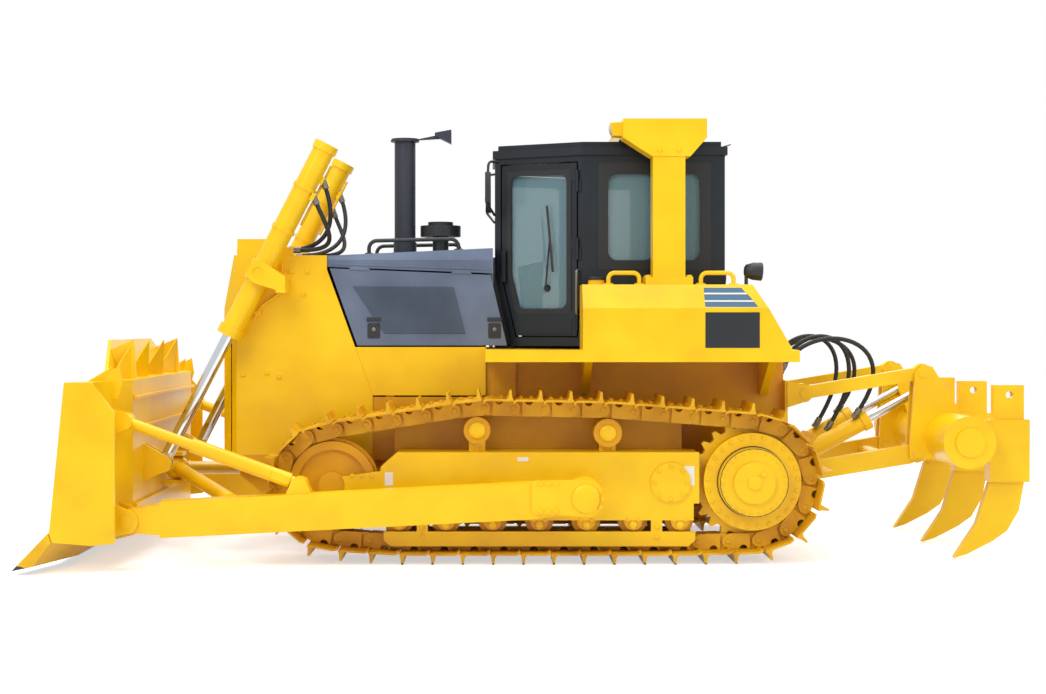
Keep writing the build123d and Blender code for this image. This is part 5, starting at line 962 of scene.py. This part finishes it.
# %% Routes, ports and clamps
LIFT_EYE, YOKE, LIFT_UP = (2.777, 0.689), (2.048, 2.109), (-0.4567, 0, 0.8897)
RIPPER_EYE, RIPPER_PIN = (-2.030, 0.690), (-3.013, 1.227)
BAND = [(0, 0.080), (0, 0.092), (0.030, 0.092), (0.030, 0.080)]
for name, side in SIDES:
    barrel = "lift_barrel_" + name
    made = []
    for k, (reach, y, foot_x) in enumerate(((2.42, 0.725 * side, 1.930), (2.28, 0.775 * side, 1.830))):
        px, _, pz = port = on_lift(reach, y, -0.100)
        foot_y = side * (0.500 + 0.050 * k)
        hose("lift_hose_%s_%d" % (name, k), (foot_x, foot_y, 2.292), (foot_x - 0.42, foot_y, 2.270),
             (px - 0.10, y, pz - 0.26), port, "tractor", barrel)
        block = [on_line(LIFT_EYE, YOKE, reach + a, b) for a, b in rectangle(-0.03, 0.03, -0.075, -0.105)]
        made.append(prism(block, y - 0.03, y + 0.03))
        clamp = prism(rectangle(foot_x - 0.005, foot_x + 0.075, 2.247, 2.312), foot_y - 0.028, foot_y + 0.028)
        piece("hose_clamp_%s_%d" % (name, k), [clamp], YELLOW, bevel=0.004)
    made.append(tube([on_lift(d, side * 0.700, -0.098) for d in (2.05, 2.55)], 0.011, 10))
    made += [turned(BAND, on_lift(d, side * 0.75), LIFT_UP, 28, ring=True) for d in (1.95, 2.30)]
    piece("lift_ports_" + name, made, YELLOW, barrel, smooth=40)
    for k, y in enumerate((0.245, 0.345)):
        ex, ez = on_line(RIPPER_EYE, RIPPER_PIN, 0.34 + 0.22 * k, 0.080)
        hose("ripper_hose_%s_%d" % (name, k), (-1.915, side * y, 1.375), (-2.120, side * y, 1.860 - 0.05 * k),
             (ex - 0.46, side * y, 1.640), (ex, side * y, ez), "tractor", "ripper_barrels")
print("hose ports at %.2f and %.2f m up the lift cylinder" % (2.28, 2.42))

# %% [markdown]
# ## Blade fittings
# The cutting edge is bolted on through its face, so two rows of plough bolts show in front. Behind the
# spill guard, folded triangles of plate brace each fin. Shading could draw them, but they stand out
# from the guard's outline, so they are plates, and they catch the light as bright facets.

# %% Edge bolts and folded gussets
BEND_Y, WING, WING_REACH = 1.200, 0.620, 0.170      # where the wing starts, its width, how far it comes forward
PLOUGH_HEAD = [(-0.004, 0.019), (0.003, 0.019), (0.007, 0.012)]


def wing_x(y):
    """How far forward the blade's section stands at y: 0 up to the bend, then a straight line to its end."""
    return float(max(0.0, abs(y) - BEND_Y) / WING * WING_REACH)


edge_bolts = []
for y in np.arange(-1.74, 1.741, 0.145):
    for share in (0.16, 0.34):
        centre = (3.199 + wing_x(y) + 0.249 * share, y, 0.290 - 0.260 * share)
        edge_bolts.append(turned(PLOUGH_HEAD, centre, (0.722, 0, 0.692), 14))
piece("edge_bolts", edge_bolts, BARE_STEEL, "blade", smooth=40)

gussets, FOOT_Z = [], 1.322
for side in (1, -1):
    for y, reach, top in ((0.870, 0.42, 1.600), (1.460, 0.26, 1.425), (0.300, 0.42, 1.600)):
        tip = (2.975 + wing_x(y) * 0.4, side * y, top)
        low = (2.985 + wing_x(y) * 0.6, side * y, FOOT_Z)
        for step in (-0.5, 0.5):
            root = (3.110 + wing_x(y) * 0.6, side * (y + step * reach), FOOT_Z)
            gussets.append(sheet_plate([tip, low, root], 0.012))
piece("spill_guard_gussets", gussets, YELLOW, "blade")
ribs = [prism(rectangle(2.880, 2.905, z - 0.012, z + 0.012), -BEND_Y, BEND_Y) for z in (0.42, 0.98, 1.20)]
piece("blade_back_ribs", ribs, YELLOW, "blade", bevel=0.003)
print("%d edge bolts, %d gusset plates" % (len(edge_bolts), len(gussets)))

# %% [markdown]
# ## Work lamps
# The front lamps sit in yellow boxes on the rollover beam, and the rear ones are black round housings
# on stalks. A lens is a shallow dome behind a rim. A glowing disc would read as lit, and the machine
# stands with its lamps off, so each lens is plain glass.

# %% Lamps
BEAM_X, BEAM_Z = -0.634, 3.105          # where the front lamp boxes stand
FRONT_LENS = [(0, 0.040), (0.006, 0.040), (0.012, 0.030), (0.015, 0.012)]
REAR_LENS = [(0, 0.056), (0.004, 0.050), (0.008, 0.025)]
HOUSING = [(-0.070, 0.030), (-0.060, 0.046), (-0.010, 0.064), (0.056, 0.068), (0.062, 0.060)]
REAR_AIM = (-1, 0, -0.05)
lamp_boxes, lenses, rear_lamps = [], [], []
for side in (1, -1):
    y = side * 0.935
    corners = (-0.002, 0), (0.070, 0.004), (0.088, 0.100), (-0.002, 0.106)
    box = [(BEAM_X + dx, BEAM_Z + dz) for dx, dz in corners]
    lamp_boxes.append(prism(box, y - 0.075, y + 0.075))
    lenses.append(turned(FRONT_LENS, (BEAM_X + 0.078, y, BEAM_Z + 0.052), (0.98, 0, -0.18), 24))
    y = side * 1.0
    stalk = [(-1.545, y, TANK_TOP), (-1.545, y, TANK_TOP + 0.060), (-1.575, y, TANK_TOP + 0.090)]
    rear_lamps += [turned(HOUSING, (-1.600, y, TANK_TOP + 0.100), REAR_AIM, 28), tube(stalk, 0.014, 10)]
    lenses.append(turned(REAR_LENS, (-1.656, y, TANK_TOP + 0.097), REAR_AIM, 28))
boxes = piece("front_lamp_boxes", lamp_boxes, YELLOW, bevel=0.004)
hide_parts("work_lamps")
piece("rear_lamps", rear_lamps, BLACK_PLASTIC, smooth=40)
piece("lamp_lenses", lenses, LAMP_GLASS, smooth=50)
print("%d lenses" % len(lenses))

# %% [markdown]
# ## Rollover bar, filler caps, antennas and case plates
# The rollover bar is bolted to the tanks and the tanks have screwed caps. Thin rods stand on the roof,
# and a steel plate closes each side of the case under the deck, where a bare hole would let light
# through. All come from the bolt, lathe, tube and plate functions above.

# %% Bolts, caps, antennas and plates
BAR_X = -0.970
rops_bolts, caps = [], []
for side in (1, -1):
    feet = [(BAR_X + dx, side * y, 2.070) for dx in (-0.150, 0.150) for y in (0.900, 1.000, 1.080)]
    head = [(BAR_X + dx, side * 1.110, 2.995) for dx in (-0.07, 0.07)]
    rops_bolts += bolts(feet, (0, 0, 1), 0.018, 0.016) + bolts(head, (0, side, 0), 0.016, 0.014)
    cap = [(0, 0.066), (0.020, 0.066), (0.026, 0.058)]
    caps.append(turned(cap, (-0.450, side * 0.910, 2.052), (0, 0, 1), 24))
piece("rollover_bolts", rops_bolts, YELLOW, smooth=40)
piece("filler_caps", caps, BLACK_PLASTIC, smooth=40)
rods = [tube([(-1.395, -0.30, 3.060), (-1.395, -0.30, 3.118), (-1.610, -0.30, 3.180)], 0.005, 8),
        tube([(-0.650, 0.20, 3.200), (-0.595, 0.20, 3.245)], 0.006, 8),
        tube([(-1.000, 0.860, 3.220), (-1.000, 0.860, 3.252)], 0.009, 10)]
piece("antennas", rods, BLACK_PLASTIC, smooth=40)
closing = [prism(rectangle(0.139, 0.372, 0.741, 1.453), y - 0.008, y + 0.008) for y in (0.529, -0.529)]
# The plates take the darker yellow that is painted shade for the shade under the deck.
piece("case_side_plates", closing, SHADED_YELLOW)
print("%d bolts on the rollover bar" % len(rops_bolts))
